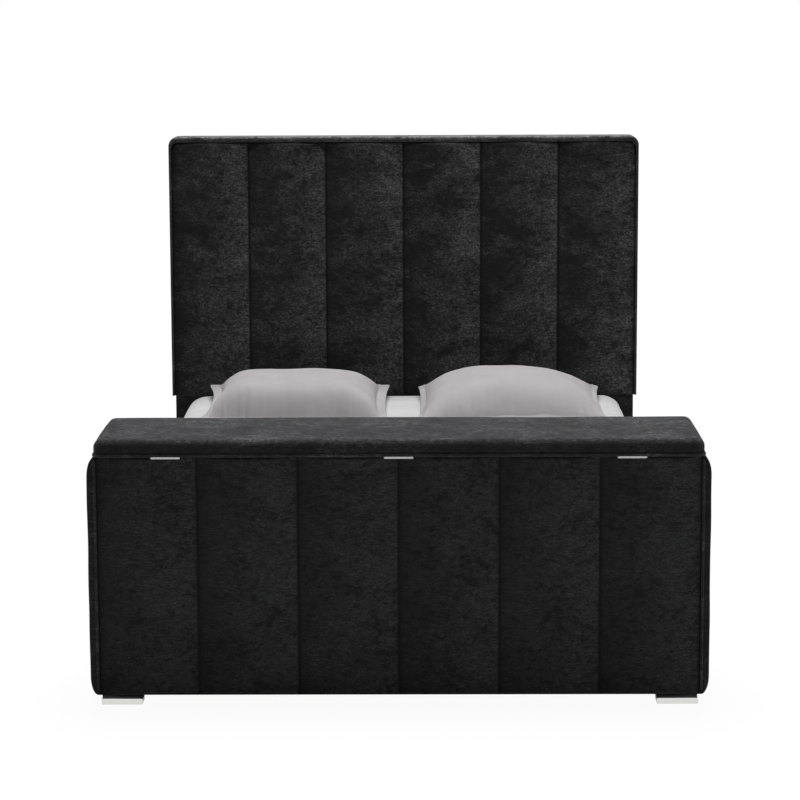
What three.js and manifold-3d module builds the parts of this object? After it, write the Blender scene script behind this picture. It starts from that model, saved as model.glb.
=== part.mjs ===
// TV bed: an upholstered king-size bed whose foot end is a box that hides a television on an electric lift.
// Millimetres, +Z up. The foot end faces -Y and the headboard stands at +Y.
// The origin is on the floor, under the middle of the outline.

import * as THREE from 'three';
import { mergeVertices } from 'three/addons/utils/BufferGeometryUtils.js';
import Module from 'manifold-3d';

const wasm = await Module();
wasm.setup();

// Fits and cuts
const fitGap = 0.3; // between pieces that seat on or against each other
const cutOverrun = 10; // how far a cutter passes the face that it opens
const arcSegments = 5; // in a quarter of a rounded corner
const roundSegments = 20;
const smallRoundSegments = 12;
const smallRoundRadius = 6; // and under, with fewer segments
const pillowSegments = 22;

// Mattress and pillows
const mattressWidth = 1470;
const mattressLength = 2000;
const mattressHeight = 220;
const mattressEdgeRadius = 55;
const mattressCornerRadius = 80;
const mattressSidePlay = 25;
const mattressEndPlay = 7.5;
const pillowWidth = 620;
const pillowDepth = 550;
const pillowCrown = 90; // rise above the pillow's edge
const pillowBelly = 30; // depth below the pillow's edge
const pillowSquareness = 5; // exponent of the outline, 2 would be an ellipse
const pillowSpacing = 710; // between the middles of the two pillows
const pillowSetback = 70; // from the headboard's padding

// Sleeping base
const slatTopZ = 235;
const slatCount = 10;
const slatWidth = 110;
const slatThickness = 18;
const slatEdgeRadius = 5;
const slatSidePlay = 2;
const railThickness = 20;
const railHeight = 240;
const railLip = 65; // how far the side rails rise past the slats
const railPadThickness = 15;
const railPadEdgeRadius = 9;
const ledgeWidth = 35;
const ledgeHeight = 40;
const ledgeChamfer = 6;
const centreRailWidth = 60;
const centreRailHeight = 80;
const centreRailChamfer = 5;
const centreLegDiameter = 48;
const centreLegFootDiameter = 34;
const centreLegFootHeight = 12;
const centreLegShares = [0.3, 0.72]; // of the base's length, from the foot end

// Headboard
const headboardOverhang = 5; // past the padded side rails
const headboardTopZ = 1330;
const headboardChannels = 6;
const headboardPadBottomZ = 440;
const headboardPadThickness = 50;
const headboardSeamDepth = 13;
const headboardPadEdgeRadius = 22;
const headboardBoardThickness = 30;
const borderSideWidth = 8;
const borderTopWidth = 19;
const borderCornerRadius = 32;
const borderSetback = 14; // behind the crown of the padding
const glideDiameter = 24;
const glideHeight = 8;
const glideChamfer = 2;
const glideInset = 130; // from the headboard's side to the glide's middle

// Box for the television
const boxOverhang = 5; // past the padded side rails
const boxDepth = 380;
const boxHeight = 624;
const boxBoardThickness = 18;
const frontChannels = 6;
const frontPadThickness = 22;
const frontSeamDepth = 9;
const frontPadEdgeRadius = 7;
const sidePadThickness = 24;
const sidePadShoulderWidth = 19;
const sidePadShoulderHeight = 46;
const sidePadNoseRadius = 12;
const sidePadSetback = 4; // behind the crown of the front padding
const footWidth = 107;
const footDepth = 50;
const footHeight = 26;
const footCornerRadius = 4;
const footNeckHeight = 9;
const footNeckInset = 4;
const footSideInset = 3; // from the side of the box's boards
const footEndInset = 5; // from the front and back of the box

// Lid
const lidSideSetback = 17.5; // from the side of the box
const lidBoardThickness = 12;
const lidPadThickness = 35;
const lidEdgeRadius = 20;
const lidCornerRadius = 24;

// Hinges between the box's front and the lid
const hingeEndInset = 186.5; // from the lid's end to the middle of the outer hinges
const hingeLength = 72;
const hingeKnuckles = 5;
const hingeBarrelDiameter = 7;
const hingeStandOff = 2; // of the pin's axis, in front of the lid
const hingeLeafReach = 36;
const hingeLeafThickness = 2;
const hingePinDiameter = 3.6;
const hingePinHeadDiameter = 5.6;
const hingePinHeadHeight = 1.2;
const hingeHoleDiameter = 4.5;
const hingeHoleReach = 29; // from the pin's axis to the screw holes
const hingeHoleSpacing = 24;
const hingePocketPlay = 0.5;

// Lift
const tvBayDepth = 100; // room for the television, between its arms and the box's back
const liftTravel = 280; // of each of the two stages
const liftBaseWidth = 330;
const liftBaseDepth = 150;
const liftBaseThickness = 6;
const liftBaseCornerRadius = 12;
const liftBoltDiameter = 9;
const liftBoltInset = 16;
const columnWidth = 90;
const columnDepth = 60;
const columnCornerRadius = 9;
const columnWall = 3;
const columnGlide = 0.6; // play between one column and the next
const columnHeight = 380; // of the outer column
const columnStep = 30; // how far each column stands above the one round it
const collarThickness = 5;
const collarHeight = 16;
const collarLift = 4; // above the outer column
const earRadius = 14;
const actuatorGap = 10; // between the outer column and the motor's housing
const motorWidth = 62;
const motorDepth = 66;
const motorHeight = 112;
const motorCornerRadius = 10;
const actuatorTubeDiameter = 32;
const rodDiameter = 18;
const rodShow = 20; // of the rod, when the lift is down
const rodHold = 40; // of the rod, still in its tube when the lift is up
const rodStudDiameter = 10;
const rodStudRise = 7; // above the collar's ear

// Bracket and arms that carry the television
const headPlateWidth = 450;
const headPlateHeight = 190;
const headPlateThickness = 4;
const headPlateCornerRadius = 15;
const headPlateClearance = 3; // to the collar that slides behind it
const headSlotLength = 70;
const headSlotWidth = 12;
const headSlotPitch = 120;
const headSlotRise = 55; // between the rows of slots
const armSpacing = 400;
const armWidth = 34;
const armDepth = 16;
const armWall = 2.5;
const armHeight = 440;
const armTopDrop = 60; // below the lid
const armHoleDiameter = 8.5;
const armHolePitch = 100;
const armHoleCount = 5;

// Control unit of the lift
const controlWidth = 180;
const controlDepth = 95;
const controlHeight = 38;
const controlCornerRadius = 8;
const controlOffset = 300; // to the left of the column
const controlLipHeight = 6;
const controlLipWidth = 3;

// Widths that follow from the mattress and what lies beside it
const railInnerX = mattressWidth / 2 + mattressSidePlay;
const railOuterX = railInnerX + railThickness;
const baseHalfWidth = railOuterX + railPadThickness;
const boxHalfWidth = baseHalfWidth + boxOverhang;
const carcassHalfWidth = boxHalfWidth - sidePadThickness;
const headboardHalfWidth = baseHalfWidth + headboardOverhang;
const lidWidth = 2 * (boxHalfWidth - lidSideSetback);
const hingeX = lidWidth / 2 - hingeEndInset;

// Places along the bed, from the front of the box
const frontBoardY = frontPadThickness + fitGap;
const bayFrontY = frontBoardY + boxBoardThickness;
const bayBackY = boxDepth - boxBoardThickness;
const headboardY = boxDepth + mattressLength + 2 * mattressEndPlay;
const headboardBoardY = headboardY + headboardPadThickness + fitGap;
const backY = headboardBoardY + headboardBoardThickness;
const frontY = -hingeStandOff - hingeBarrelDiameter / 2;
const baseLength = headboardBoardY - boxDepth;

// Heights
const boxTopZ = footHeight + boxHeight;
const bayFloorZ = footHeight + boxBoardThickness;
const slatBottomZ = slatTopZ - slatThickness;
const ledgeTopZ = slatBottomZ - fitGap;
const railTopZ = slatTopZ + railLip;
const mattressZ = slatTopZ + fitGap;

const finishes = {
  velvet: { color: 0x232326, roughness: 0.75, metalness: 0 },
  plywood: { color: 0xb08d60, roughness: 0.7, metalness: 0 },
  pine: { color: 0xd2ad75, roughness: 0.65, metalness: 0 },
  chrome: { color: 0xd8dadd, roughness: 0.08, metalness: 1 },
  steel: { color: 0xb9bbbe, roughness: 0.35, metalness: 1 },
  blackSteel: { color: 0x1c1d1f, roughness: 0.45, metalness: 0.6 },
  silverSteel: { color: 0x9da1a6, roughness: 0.3, metalness: 0.9 },
  blackPlastic: { color: 0x151516, roughness: 0.5, metalness: 0 },
  cotton: { color: 0xf0f0f0, roughness: 0.9, metalness: 0 },
  sateen: { color: 0xb4b5b9, roughness: 0.5, metalness: 0 },
};

const unitX = new THREE.Vector3(1, 0, 0);
const unitY = new THREE.Vector3(0, 1, 0);
const unitZ = new THREE.Vector3(0, 0, 1);
const alongX = new THREE.Matrix4().makeBasis(unitY, unitZ, unitX);
const alongY = new THREE.Matrix4().makeBasis(unitX, unitZ, unitY.clone().negate());
const alongZ = new THREE.Matrix4();

// Closed mesh to solid, and back
function toSolid(geometry) {
  const bare = geometry.clone();
  bare.deleteAttribute('normal');
  bare.deleteAttribute('uv');
  const merged = mergeVertices(bare);
  return new wasm.Manifold(new wasm.Mesh({
    numProp: 3,
    vertProperties: new Float32Array(merged.attributes.position.array),
    triVerts: new Uint32Array(merged.index.array),
  }));
}

function toGeometry(solid) {
  const { vertProperties, triVerts } = solid.getMesh();
  const geometry = new THREE.BufferGeometry();
  geometry.setAttribute('position', new THREE.BufferAttribute(vertProperties, 3));
  geometry.setIndex(new THREE.BufferAttribute(triVerts, 1));
  geometry.computeVertexNormals();
  return geometry;
}

function join(first, ...others) {
  return toGeometry(others.reduce((sum, other) => sum.add(toSolid(other)), toSolid(first)));
}

function cut(first, ...cutters) {
  return toGeometry(cutters.reduce((rest, cutter) => rest.subtract(toSolid(cutter)), toSolid(first)));
}

function common(first, ...others) {
  return toGeometry(others.reduce((rest, other) => rest.intersect(toSolid(other)), toSolid(first)));
}

// Corner points of a rectangle whose corners are quarter ellipses.
// The radii run anticlockwise from the low corner, each as [along x, along y], or zero for a sharp corner.
function roundedPoints(lowX, highX, lowY, highY, radii) {
  const corners = [[lowX, lowY, 1, 1], [highX, lowY, -1, 1], [highX, highY, -1, -1], [lowX, highY, 1, -1]];
  return corners.flatMap(([x, y, inX, inY], index) => {
    if (!radii[index]) return [new THREE.Vector2(x, y)];
    const [radiusX, radiusY] = radii[index];
    return Array.from({ length: arcSegments + 1 }, (_, step) => {
      const angle = Math.PI + (index + step / arcSegments) * Math.PI / 2;
      return new THREE.Vector2(
        x + inX * radiusX + radiusX * Math.cos(angle),
        y + inY * radiusY + radiusY * Math.sin(angle),
      );
    });
  });
}

function roundedRectangle(width, height, radius) {
  const radii = Array(4).fill([radius, radius]);
  return new THREE.Shape(roundedPoints(-width / 2, width / 2, -height / 2, height / 2, radii));
}

// A shape swept along one axis, with its middle at zero on that axis
function extrude(shape, length, direction) {
  const geometry = new THREE.ExtrudeGeometry(shape, { depth: length, bevelEnabled: false });
  geometry.translate(0, 0, -length / 2);
  return geometry.applyMatrix4(direction);
}

function block(width, depth, height, x = 0, y = 0, z = 0) {
  return new THREE.BoxGeometry(width, depth, height).translate(x, y, z);
}

// A plate or post with rounded corners in plan, standing on z
function post(width, depth, height, radius, x = 0, y = 0, z = 0) {
  return extrude(roundedRectangle(width, depth, radius), height, alongZ).translate(x, y, z + height / 2);
}

function segmentsOf(radius) {
  return radius > smallRoundRadius ? roundSegments : smallRoundSegments;
}

function rodAlongX(radius, length, x = 0) {
  return new THREE.CylinderGeometry(radius, radius, length, segmentsOf(radius))
    .rotateZ(Math.PI / 2).translate(x, 0, 0);
}

function rodAlongY(radius, length, x = 0, y = 0, z = 0) {
  return new THREE.CylinderGeometry(radius, radius, length, segmentsOf(radius)).translate(x, y, z);
}

function rodAlongZ(radius, length, x = 0, y = 0, z = 0) {
  return new THREE.CylinderGeometry(radius, radius, length, segmentsOf(radius))
    .rotateX(Math.PI / 2).translate(x, y, z + length / 2);
}

function addPiece(group, name, finish, geometry, x = 0, y = 0, z = 0) {
  const mesh = new THREE.Mesh(geometry, new THREE.MeshStandardMaterial(finishes[finish]));
  mesh.name = name;
  mesh.position.set(x, y, z);
  group.add(mesh);
  return mesh;
}

function groupAt(parent, x, y, z) {
  const group = new THREE.Group();
  group.position.set(x, y, z);
  parent.add(group);
  return group;
}

const sides = [['left', -1], ['right', 1]];

// Padding sewn into upright channels: back at y = 0, crown at -thickness, middle at x = 0 and z = 0
function channelledPad(width, height, thickness, seamDepth, channels, edgeRadius) {
  const channelWidth = width / channels;
  const channelSegments = 2 * arcSegments;
  const points = [new THREE.Vector2(width / 2, 0), new THREE.Vector2(-width / 2, 0)];
  for (let channel = 0; channel < channels; channel += 1) {
    const middle = (channel + 0.5) * channelWidth - width / 2;
    const firstStep = channel === 0 ? 0 : 1;
    for (let step = firstStep; step <= channelSegments; step += 1) {
      const angle = Math.PI * step / channelSegments;
      points.push(new THREE.Vector2(
        middle - Math.cos(angle) * channelWidth / 2,
        seamDepth - thickness - seamDepth * Math.sin(angle),
      ));
    }
  }
  const edge = [edgeRadius, edgeRadius];
  const profile = roundedPoints(-thickness, 0, -height / 2, height / 2, [edge, 0, 0, edge]);
  return common(
    extrude(new THREE.Shape(points), height + cutOverrun, alongZ),
    extrude(new THREE.Shape(profile), width + cutOverrun, alongX),
  );
}

// Room for one folded hinge, seen from the edge that it lies in: the leaf's pocket and the barrel's notch.
// The edge is the plane z = 0, and the pocket is open on both sides of it.
function hingePockets(y, depthZ) {
  const length = hingeLength + 2 * hingePocketPlay + 2 * hingePinHeadHeight + 2 * fitGap;
  const leafEndY = hingeLeafReach - hingeStandOff + hingePocketPlay;
  const barrelReach = hingeBarrelDiameter / 2 + hingePocketPlay;
  const barrelEndY = barrelReach - hingeStandOff;
  return [-hingeX, 0, hingeX].flatMap((x) => [
    block(length, 2 * leafEndY, 2 * depthZ, x, -y, 0),
    block(length, 2 * barrelEndY, 2 * barrelReach, x, -y, 0),
  ]);
}

// Box for the television, seen from the middle of its front top edge
function addBox(bed) {
  const box = groupAt(bed, 0, 0, boxTopZ);
  const middleZ = -boxHeight / 2;
  const carcassWidth = 2 * carcassHalfWidth;
  const sideLength = bayBackY - bayFrontY - 2 * fitGap;
  const sideY = (bayBackY + bayFrontY) / 2;
  const leafPocketDepth = hingeLeafThickness + fitGap;

  const frontPad = channelledPad(
    carcassWidth, boxHeight, frontPadThickness, frontSeamDepth, frontChannels, frontPadEdgeRadius,
  ).translate(0, 0, middleZ);
  const frontBoard = block(carcassWidth, boxBoardThickness, boxHeight, 0, 0, middleZ);
  const frontBoardMiddleY = frontBoardY + boxBoardThickness / 2;
  addPiece(box, 'tv_box_front_pad', 'velvet',
    cut(frontPad, ...hingePockets(frontPadThickness, leafPocketDepth)), 0, frontPadThickness, 0);
  addPiece(box, 'tv_box_front_board', 'plywood',
    cut(frontBoard, ...hingePockets(frontBoardMiddleY, leafPocketDepth)), 0, frontBoardMiddleY, 0);
  addPiece(box, 'tv_box_back_board', 'velvet',
    block(carcassWidth, boxBoardThickness, boxHeight), 0, boxDepth - boxBoardThickness / 2, middleZ);
  addPiece(box, 'tv_box_floor_board', 'plywood',
    block(carcassWidth - 2 * boxBoardThickness - 2 * fitGap, sideLength, boxBoardThickness),
    0, sideY, boxBoardThickness / 2 - boxHeight);

  for (const [sideName, side] of sides) {
    addPiece(box, `tv_box_side_board_${sideName}`, 'plywood',
      block(boxBoardThickness, sideLength, boxHeight),
      side * (carcassHalfWidth - boxBoardThickness / 2), sideY, middleZ);
    addPiece(box, `tv_box_side_pad_${sideName}`, 'velvet', sidePad(side),
      side * carcassHalfWidth, (boxDepth + sidePadSetback) / 2, middleZ);
    for (const [endName, footY] of [['front', footEndInset], ['back', boxDepth - footEndInset - footDepth]]) {
      addPiece(box, `tv_box_foot_${endName}_${sideName}`, 'chrome', boxFoot(),
        side * (carcassHalfWidth - footSideInset - footWidth / 2), footY + footDepth / 2, -boxTopZ);
    }
  }
}

// Padding on the box's side: rounded at its shoulders in front view and at its ends in plan
function sidePad(side) {
  const length = boxDepth - sidePadSetback;
  const near = side * fitGap;
  const far = side * sidePadThickness;
  const shoulder = [sidePadShoulderWidth, sidePadShoulderHeight];
  const nose = [sidePadNoseRadius, sidePadNoseRadius];
  const low = Math.min(near, far);
  const high = Math.max(near, far);
  const roundOutside = (radius) => (side > 0 ? [0, radius, radius, 0] : [radius, 0, 0, radius]);
  const front = roundedPoints(low, high, -boxHeight / 2, boxHeight / 2, roundOutside(shoulder));
  const plan = roundedPoints(low, high, -length / 2, length / 2, roundOutside(nose));
  return common(
    extrude(new THREE.Shape(front), length, alongY),
    extrude(new THREE.Shape(plan), boxHeight + cutOverrun, alongZ),
  );
}

function boxFoot() {
  const neckWidth = footWidth - 2 * footNeckInset;
  const neckDepth = footDepth - 2 * footNeckInset;
  return join(
    post(footWidth, footDepth, footHeight - footNeckHeight, footCornerRadius),
    post(neckWidth, neckDepth, footHeight - fitGap, footCornerRadius),
  );
}

// Lid, seen from the middle of its front bottom edge
function addLid(bed) {
  const lid = groupAt(bed, 0, 0, boxTopZ + fitGap);
  const middleY = boxDepth / 2;
  const leafPocketDepth = hingeLeafThickness + fitGap;
  const board = post(lidWidth, boxDepth, lidBoardThickness, lidCornerRadius);
  const edge = [lidEdgeRadius, lidEdgeRadius];
  const frontProfile = roundedPoints(-lidWidth / 2, lidWidth / 2, 0, lidPadThickness, [0, 0, edge, edge]);
  const sideProfile = roundedPoints(-middleY, middleY, 0, lidPadThickness, [0, 0, edge, edge]);
  const pad = common(
    post(lidWidth, boxDepth, lidPadThickness, lidCornerRadius),
    extrude(new THREE.Shape(frontProfile), boxDepth + cutOverrun, alongY),
    extrude(new THREE.Shape(sideProfile), lidWidth + cutOverrun, alongX),
  );
  addPiece(lid, 'lid_board', 'plywood', cut(board, ...hingePockets(middleY, leafPocketDepth)), 0, middleY, 0);
  addPiece(lid, 'lid_pad', 'velvet', pad, 0, middleY, lidBoardThickness + fitGap);
}

// Butt hinge, folded shut: both leaves lie back from the pin, one on the other
function hingeLeaf(up, firstKnuckle) {
  const pitch = hingeLength / hingeKnuckles;
  const radius = hingeBarrelDiameter / 2;
  const plateZ = up * (fitGap + hingeLeafThickness) / 2;
  const own = [];
  const others = [];
  for (let knuckle = 0; knuckle < hingeKnuckles; knuckle += 1) {
    const x = (knuckle + 0.5) * pitch - hingeLength / 2;
    if (knuckle % 2 === firstKnuckle) own.push(rodAlongX(radius, pitch - fitGap, x));
    else others.push(rodAlongX(radius + fitGap, pitch + fitGap, x));
  }
  const plate = block(
    hingeLength - fitGap, hingeLeafReach, hingeLeafThickness, 0, hingeLeafReach / 2, plateZ,
  );
  const holes = [-hingeHoleSpacing, 0, hingeHoleSpacing].map((x) => rodAlongZ(
    hingeHoleDiameter / 2, cutOverrun, x, hingeHoleReach, plateZ - cutOverrun / 2,
  ));
  const bore = rodAlongX(hingePinDiameter / 2 + fitGap, hingeLength + cutOverrun);
  return cut(join(plate, ...own), ...others, bore, ...holes);
}

function hingePin() {
  const shank = hingePinDiameter / 2;
  const head = hingePinHeadDiameter / 2;
  const shankEnd = hingeLength / 2 + fitGap;
  const end = shankEnd + hingePinHeadHeight;
  const halves = [[0, end], [head, end], [head, shankEnd], [shank, shankEnd]];
  const profile = [
    ...halves.map(([radius, height]) => new THREE.Vector2(radius, -height)),
    ...halves.reverse().map(([radius, height]) => new THREE.Vector2(radius, height)),
  ];
  return new THREE.LatheGeometry(profile, smallRoundSegments);
}

function addHinges(bed) {
  [-hingeX, 0, hingeX].forEach((x, index) => {
    const hinge = groupAt(bed, x, -hingeStandOff, boxTopZ + fitGap / 2);
    const name = `hinge_${index + 1}`;
    addPiece(hinge, `${name}_box_leaf`, 'steel', hingeLeaf(-1, 0));
    addPiece(hinge, `${name}_lid_leaf`, 'steel', hingeLeaf(1, 1));
    addPiece(hinge, `${name}_pin`, 'steel', hingePin()).rotation.z = Math.PI / 2;
  });
}

// One column of the lift, a square tube, standing on z = 0
function columnTube(width, depth, radius, height) {
  const shape = roundedRectangle(width, depth, radius);
  shape.holes.push(roundedRectangle(width - 2 * columnWall, depth - 2 * columnWall, radius - columnWall));
  return extrude(shape, height, alongZ).translate(0, 0, height / 2);
}

// Lift, seen from the foot of its column on the box's floor
function addLift(bed) {
  const inset = columnWall + columnGlide;
  const middleWidth = columnWidth - 2 * inset;
  const middleDepth = columnDepth - 2 * inset;
  const middleRadius = columnCornerRadius - inset / 2;
  const innerWidth = middleWidth - 2 * inset;
  const innerDepth = middleDepth - 2 * inset;
  const innerRadius = middleRadius - inset / 2;
  const armFaceY = bayBackY - tvBayDepth;
  const plateFaceY = armFaceY - armDepth - fitGap;
  const plateBackY = plateFaceY - headPlateThickness;
  const columnY = plateBackY - headPlateClearance - collarThickness - middleDepth / 2;
  const lift = groupAt(bed, 0, columnY, bayFloorZ + fitGap);

  const footZ = liftBaseThickness + fitGap;
  const collarZ = footZ + columnHeight + collarLift;
  const innerHeight = columnHeight + 2 * columnStep;
  const actuatorX = columnWidth / 2 + actuatorGap + motorWidth / 2;

  const boltX = liftBaseWidth / 2 - liftBoltInset;
  const boltY = liftBaseDepth / 2 - liftBoltInset;
  const bolts = [[-boltX, -boltY], [boltX, -boltY], [boltX, boltY], [-boltX, boltY]].map(([x, y]) => (
    rodAlongZ(liftBoltDiameter / 2, liftBaseThickness + 2 * cutOverrun, x, y, -cutOverrun)));
  addPiece(lift, 'lift_base_plate', 'blackSteel',
    cut(post(liftBaseWidth, liftBaseDepth, liftBaseThickness, liftBaseCornerRadius), ...bolts));

  addPiece(lift, 'lift_outer_column', 'blackSteel',
    columnTube(columnWidth, columnDepth, columnCornerRadius, columnHeight), 0, 0, footZ);
  addPiece(lift, 'lift_middle_column', 'silverSteel',
    middleColumn(middleWidth, middleDepth, middleRadius, actuatorX, collarZ - footZ), 0, 0, footZ);
  addPiece(lift, 'lift_inner_column', 'silverSteel',
    columnTube(innerWidth, innerDepth, innerRadius, innerHeight), 0, 0, footZ);

  addPiece(lift, 'lift_actuator', 'blackPlastic', actuatorBody(collarZ - footZ), actuatorX, 0, footZ);
  addPiece(lift, 'lift_actuator_rod', 'silverSteel', actuatorRod(), actuatorX, 0, collarZ - fitGap);

  const capZ = footZ + innerHeight + fitGap;
  addPiece(lift, 'lift_head_bracket', 'blackSteel',
    headBracket(innerWidth, innerDepth, plateBackY - columnY), 0, 0, capZ);
  const armBottomZ = boxTopZ - armTopDrop - armHeight - bayFloorZ - fitGap;
  for (const [sideName, side] of sides) {
    addPiece(lift, `tv_arm_${sideName}`, 'blackSteel', tvArm(),
      side * armSpacing / 2, armFaceY - columnY, armBottomZ + armHeight / 2);
  }

  addPiece(lift, 'lift_control_unit', 'blackPlastic', controlUnit(), -controlOffset, 0, 0);
}

// Middle column with the collar and ear that the actuator's rod pushes up
function middleColumn(width, depth, radius, earX, collarZ) {
  const collarWidth = width + 2 * collarThickness;
  const collarDepth = depth + 2 * collarThickness;
  const hole = post(
    width - columnWall, depth - columnWall, collarHeight + 2 * cutOverrun, radius,
    0, 0, collarZ - cutOverrun,
  );
  const collar = join(
    post(collarWidth, collarDepth, collarHeight, radius, 0, 0, collarZ),
    block(earX, 2 * earRadius, collarHeight, earX / 2, 0, collarZ + collarHeight / 2),
    rodAlongZ(earRadius, collarHeight, earX, 0, collarZ),
  );
  const studHole = rodAlongZ(
    rodStudDiameter / 2 + fitGap, collarHeight + 2 * cutOverrun, earX, 0, collarZ - cutOverrun,
  );
  return join(columnTube(width, depth, radius, columnHeight + columnStep), cut(collar, hole, studHole));
}

// Motor housing and tube of the actuator, standing on z = 0 below the ear at earZ
function actuatorBody(earZ) {
  const tubeTopZ = earZ - rodShow;
  const boreBottomZ = earZ - rodShow - liftTravel - rodHold - fitGap;
  return cut(
    join(
      post(motorWidth, motorDepth, motorHeight, motorCornerRadius),
      rodAlongZ(actuatorTubeDiameter / 2, tubeTopZ - motorHeight / 2, 0, 0, motorHeight / 2),
    ),
    rodAlongZ(rodDiameter / 2 + fitGap, tubeTopZ - boreBottomZ + cutOverrun, 0, 0, boreBottomZ),
  );
}

// Rod and stud of the actuator, with the shoulder under the ear at z = 0
function actuatorRod() {
  const rod = rodDiameter / 2;
  const stud = rodStudDiameter / 2;
  const bottomZ = -(rodShow + liftTravel + rodHold) + fitGap;
  const topZ = collarHeight + rodStudRise;
  const profile = [[0, bottomZ], [rod, bottomZ], [rod, 0], [stud, 0], [stud, topZ], [0, topZ]];
  return new THREE.LatheGeometry(profile.map(([x, y]) => new THREE.Vector2(x, y)), roundSegments)
    .rotateX(Math.PI / 2);
}

// Bent plate on top of the inner column, which hangs down in front of the columns
function headBracket(columnTopWidth, columnTopDepth, plateY) {
  const capLength = plateY + headPlateThickness + columnTopDepth / 2;
  const cap = block(
    columnTopWidth, capLength, headPlateThickness,
    0, capLength / 2 - columnTopDepth / 2, headPlateThickness / 2,
  );
  const plate = extrude(
    roundedRectangle(headPlateWidth, headPlateHeight, headPlateCornerRadius), headPlateThickness, alongY,
  ).translate(0, plateY + headPlateThickness / 2, headPlateThickness - headPlateHeight / 2);
  const slots = [-1, 0, 1].flatMap((column) => [-1, 1].map((row) => extrude(
    roundedRectangle(headSlotLength, headSlotWidth, headSlotWidth / 2 - fitGap), cutOverrun, alongY,
  ).translate(
    column * headSlotPitch,
    plateY,
    headPlateThickness - headPlateHeight / 2 + row * headSlotRise / 2,
  )));
  return cut(join(cap, plate), ...slots);
}

// Upright channel that the television is screwed to: its face is at y = 0, its middle at z = 0
function tvArm() {
  const innerWidth = armWidth - 2 * armWall;
  const channel = cut(
    block(armWidth, armDepth, armHeight, 0, -armDepth / 2, 0),
    block(innerWidth, armDepth, armHeight + cutOverrun, 0, -armDepth / 2 - armWall, 0),
  );
  const firstHole = -armHolePitch * (armHoleCount - 1) / 2;
  const holes = Array.from({ length: armHoleCount }, (_, index) => rodAlongY(
    armHoleDiameter / 2, cutOverrun, 0, 0, firstHole + index * armHolePitch,
  ));
  return cut(channel, ...holes);
}

function controlUnit() {
  return join(
    post(controlWidth, controlDepth, controlLipHeight, controlCornerRadius),
    post(controlWidth - 2 * controlLipWidth, controlDepth - 2 * controlLipWidth, controlHeight,
      controlCornerRadius - controlLipWidth),
  );
}

// Side rails, ledges, slats and centre rail, seen from the middle of the box's back, on the floor
function addBase(bed) {
  const base = groupAt(bed, 0, boxDepth, 0);
  const length = baseLength - 2 * fitGap;
  const middleY = baseLength / 2;
  const railMiddleZ = railTopZ - railHeight / 2;
  const ledgeX = railInnerX - fitGap - ledgeWidth / 2;
  for (const [sideName, side] of sides) {
    addPiece(base, `side_rail_${sideName}`, 'plywood',
      block(railThickness, length, railHeight),
      side * (railInnerX + railThickness / 2), middleY, railMiddleZ);
    addPiece(base, `side_rail_pad_${sideName}`, 'velvet',
      railPad(side, length), side * railOuterX, middleY, railMiddleZ);
    addPiece(base, `slat_ledge_${sideName}`, 'pine',
      ledge(side, length), side * ledgeX, middleY, ledgeTopZ - ledgeHeight / 2);
  }

  addPiece(base, 'centre_rail', 'pine', centreRail(length), 0, middleY, ledgeTopZ - centreRailHeight / 2);
  centreLegShares.forEach((share, index) => {
    addPiece(base, `centre_leg_${index + 1}`, 'blackPlastic', centreLeg(), 0, share * baseLength, 0);
  });

  const slatLength = 2 * (railInnerX - slatSidePlay);
  const slatPitch = mattressLength / slatCount;
  for (let index = 0; index < slatCount; index += 1) {
    addPiece(base, `slat_${index + 1}`, 'pine',
      extrude(roundedRectangle(slatWidth, slatThickness, slatEdgeRadius), slatLength, alongX),
      0, mattressEndPlay + (index + 0.5) * slatPitch, slatTopZ - slatThickness / 2);
  }
}

function railPad(side, length) {
  const near = side * fitGap;
  const far = side * railPadThickness;
  const edge = [railPadEdgeRadius, railPadEdgeRadius];
  const radii = side > 0 ? [0, edge, edge, 0] : [edge, 0, 0, edge];
  const points = roundedPoints(
    Math.min(near, far), Math.max(near, far), -railHeight / 2, railHeight / 2, radii,
  );
  return extrude(new THREE.Shape(points), length, alongY);
}

// Batten with its lower inner edge planed off
function ledge(side, length) {
  const outer = side * ledgeWidth / 2;
  const top = ledgeHeight / 2;
  const points = [
    [outer, top], [outer, -top],
    [-outer + side * ledgeChamfer, -top], [-outer, ledgeChamfer - top], [-outer, top],
  ];
  return extrude(new THREE.Shape(points.map(([x, z]) => new THREE.Vector2(x, z))), length, alongY);
}

function centreRail(length) {
  const side = centreRailWidth / 2;
  const top = centreRailHeight / 2;
  const points = [
    [-side, top], [-side, centreRailChamfer - top], [centreRailChamfer - side, -top],
    [side - centreRailChamfer, -top], [side, centreRailChamfer - top], [side, top],
  ];
  return extrude(new THREE.Shape(points.map(([x, z]) => new THREE.Vector2(x, z))), length, alongY);
}

function centreLeg() {
  const topZ = ledgeTopZ - centreRailHeight - fitGap;
  const foot = centreLegFootDiameter / 2;
  const shaft = centreLegDiameter / 2;
  const profile = [[0, 0], [foot, 0], [foot, centreLegFootHeight], [shaft, 2 * centreLegFootHeight],
    [shaft, topZ], [0, topZ]];
  return new THREE.LatheGeometry(profile.map(([x, y]) => new THREE.Vector2(x, y)), roundSegments)
    .rotateX(Math.PI / 2);
}

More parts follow.
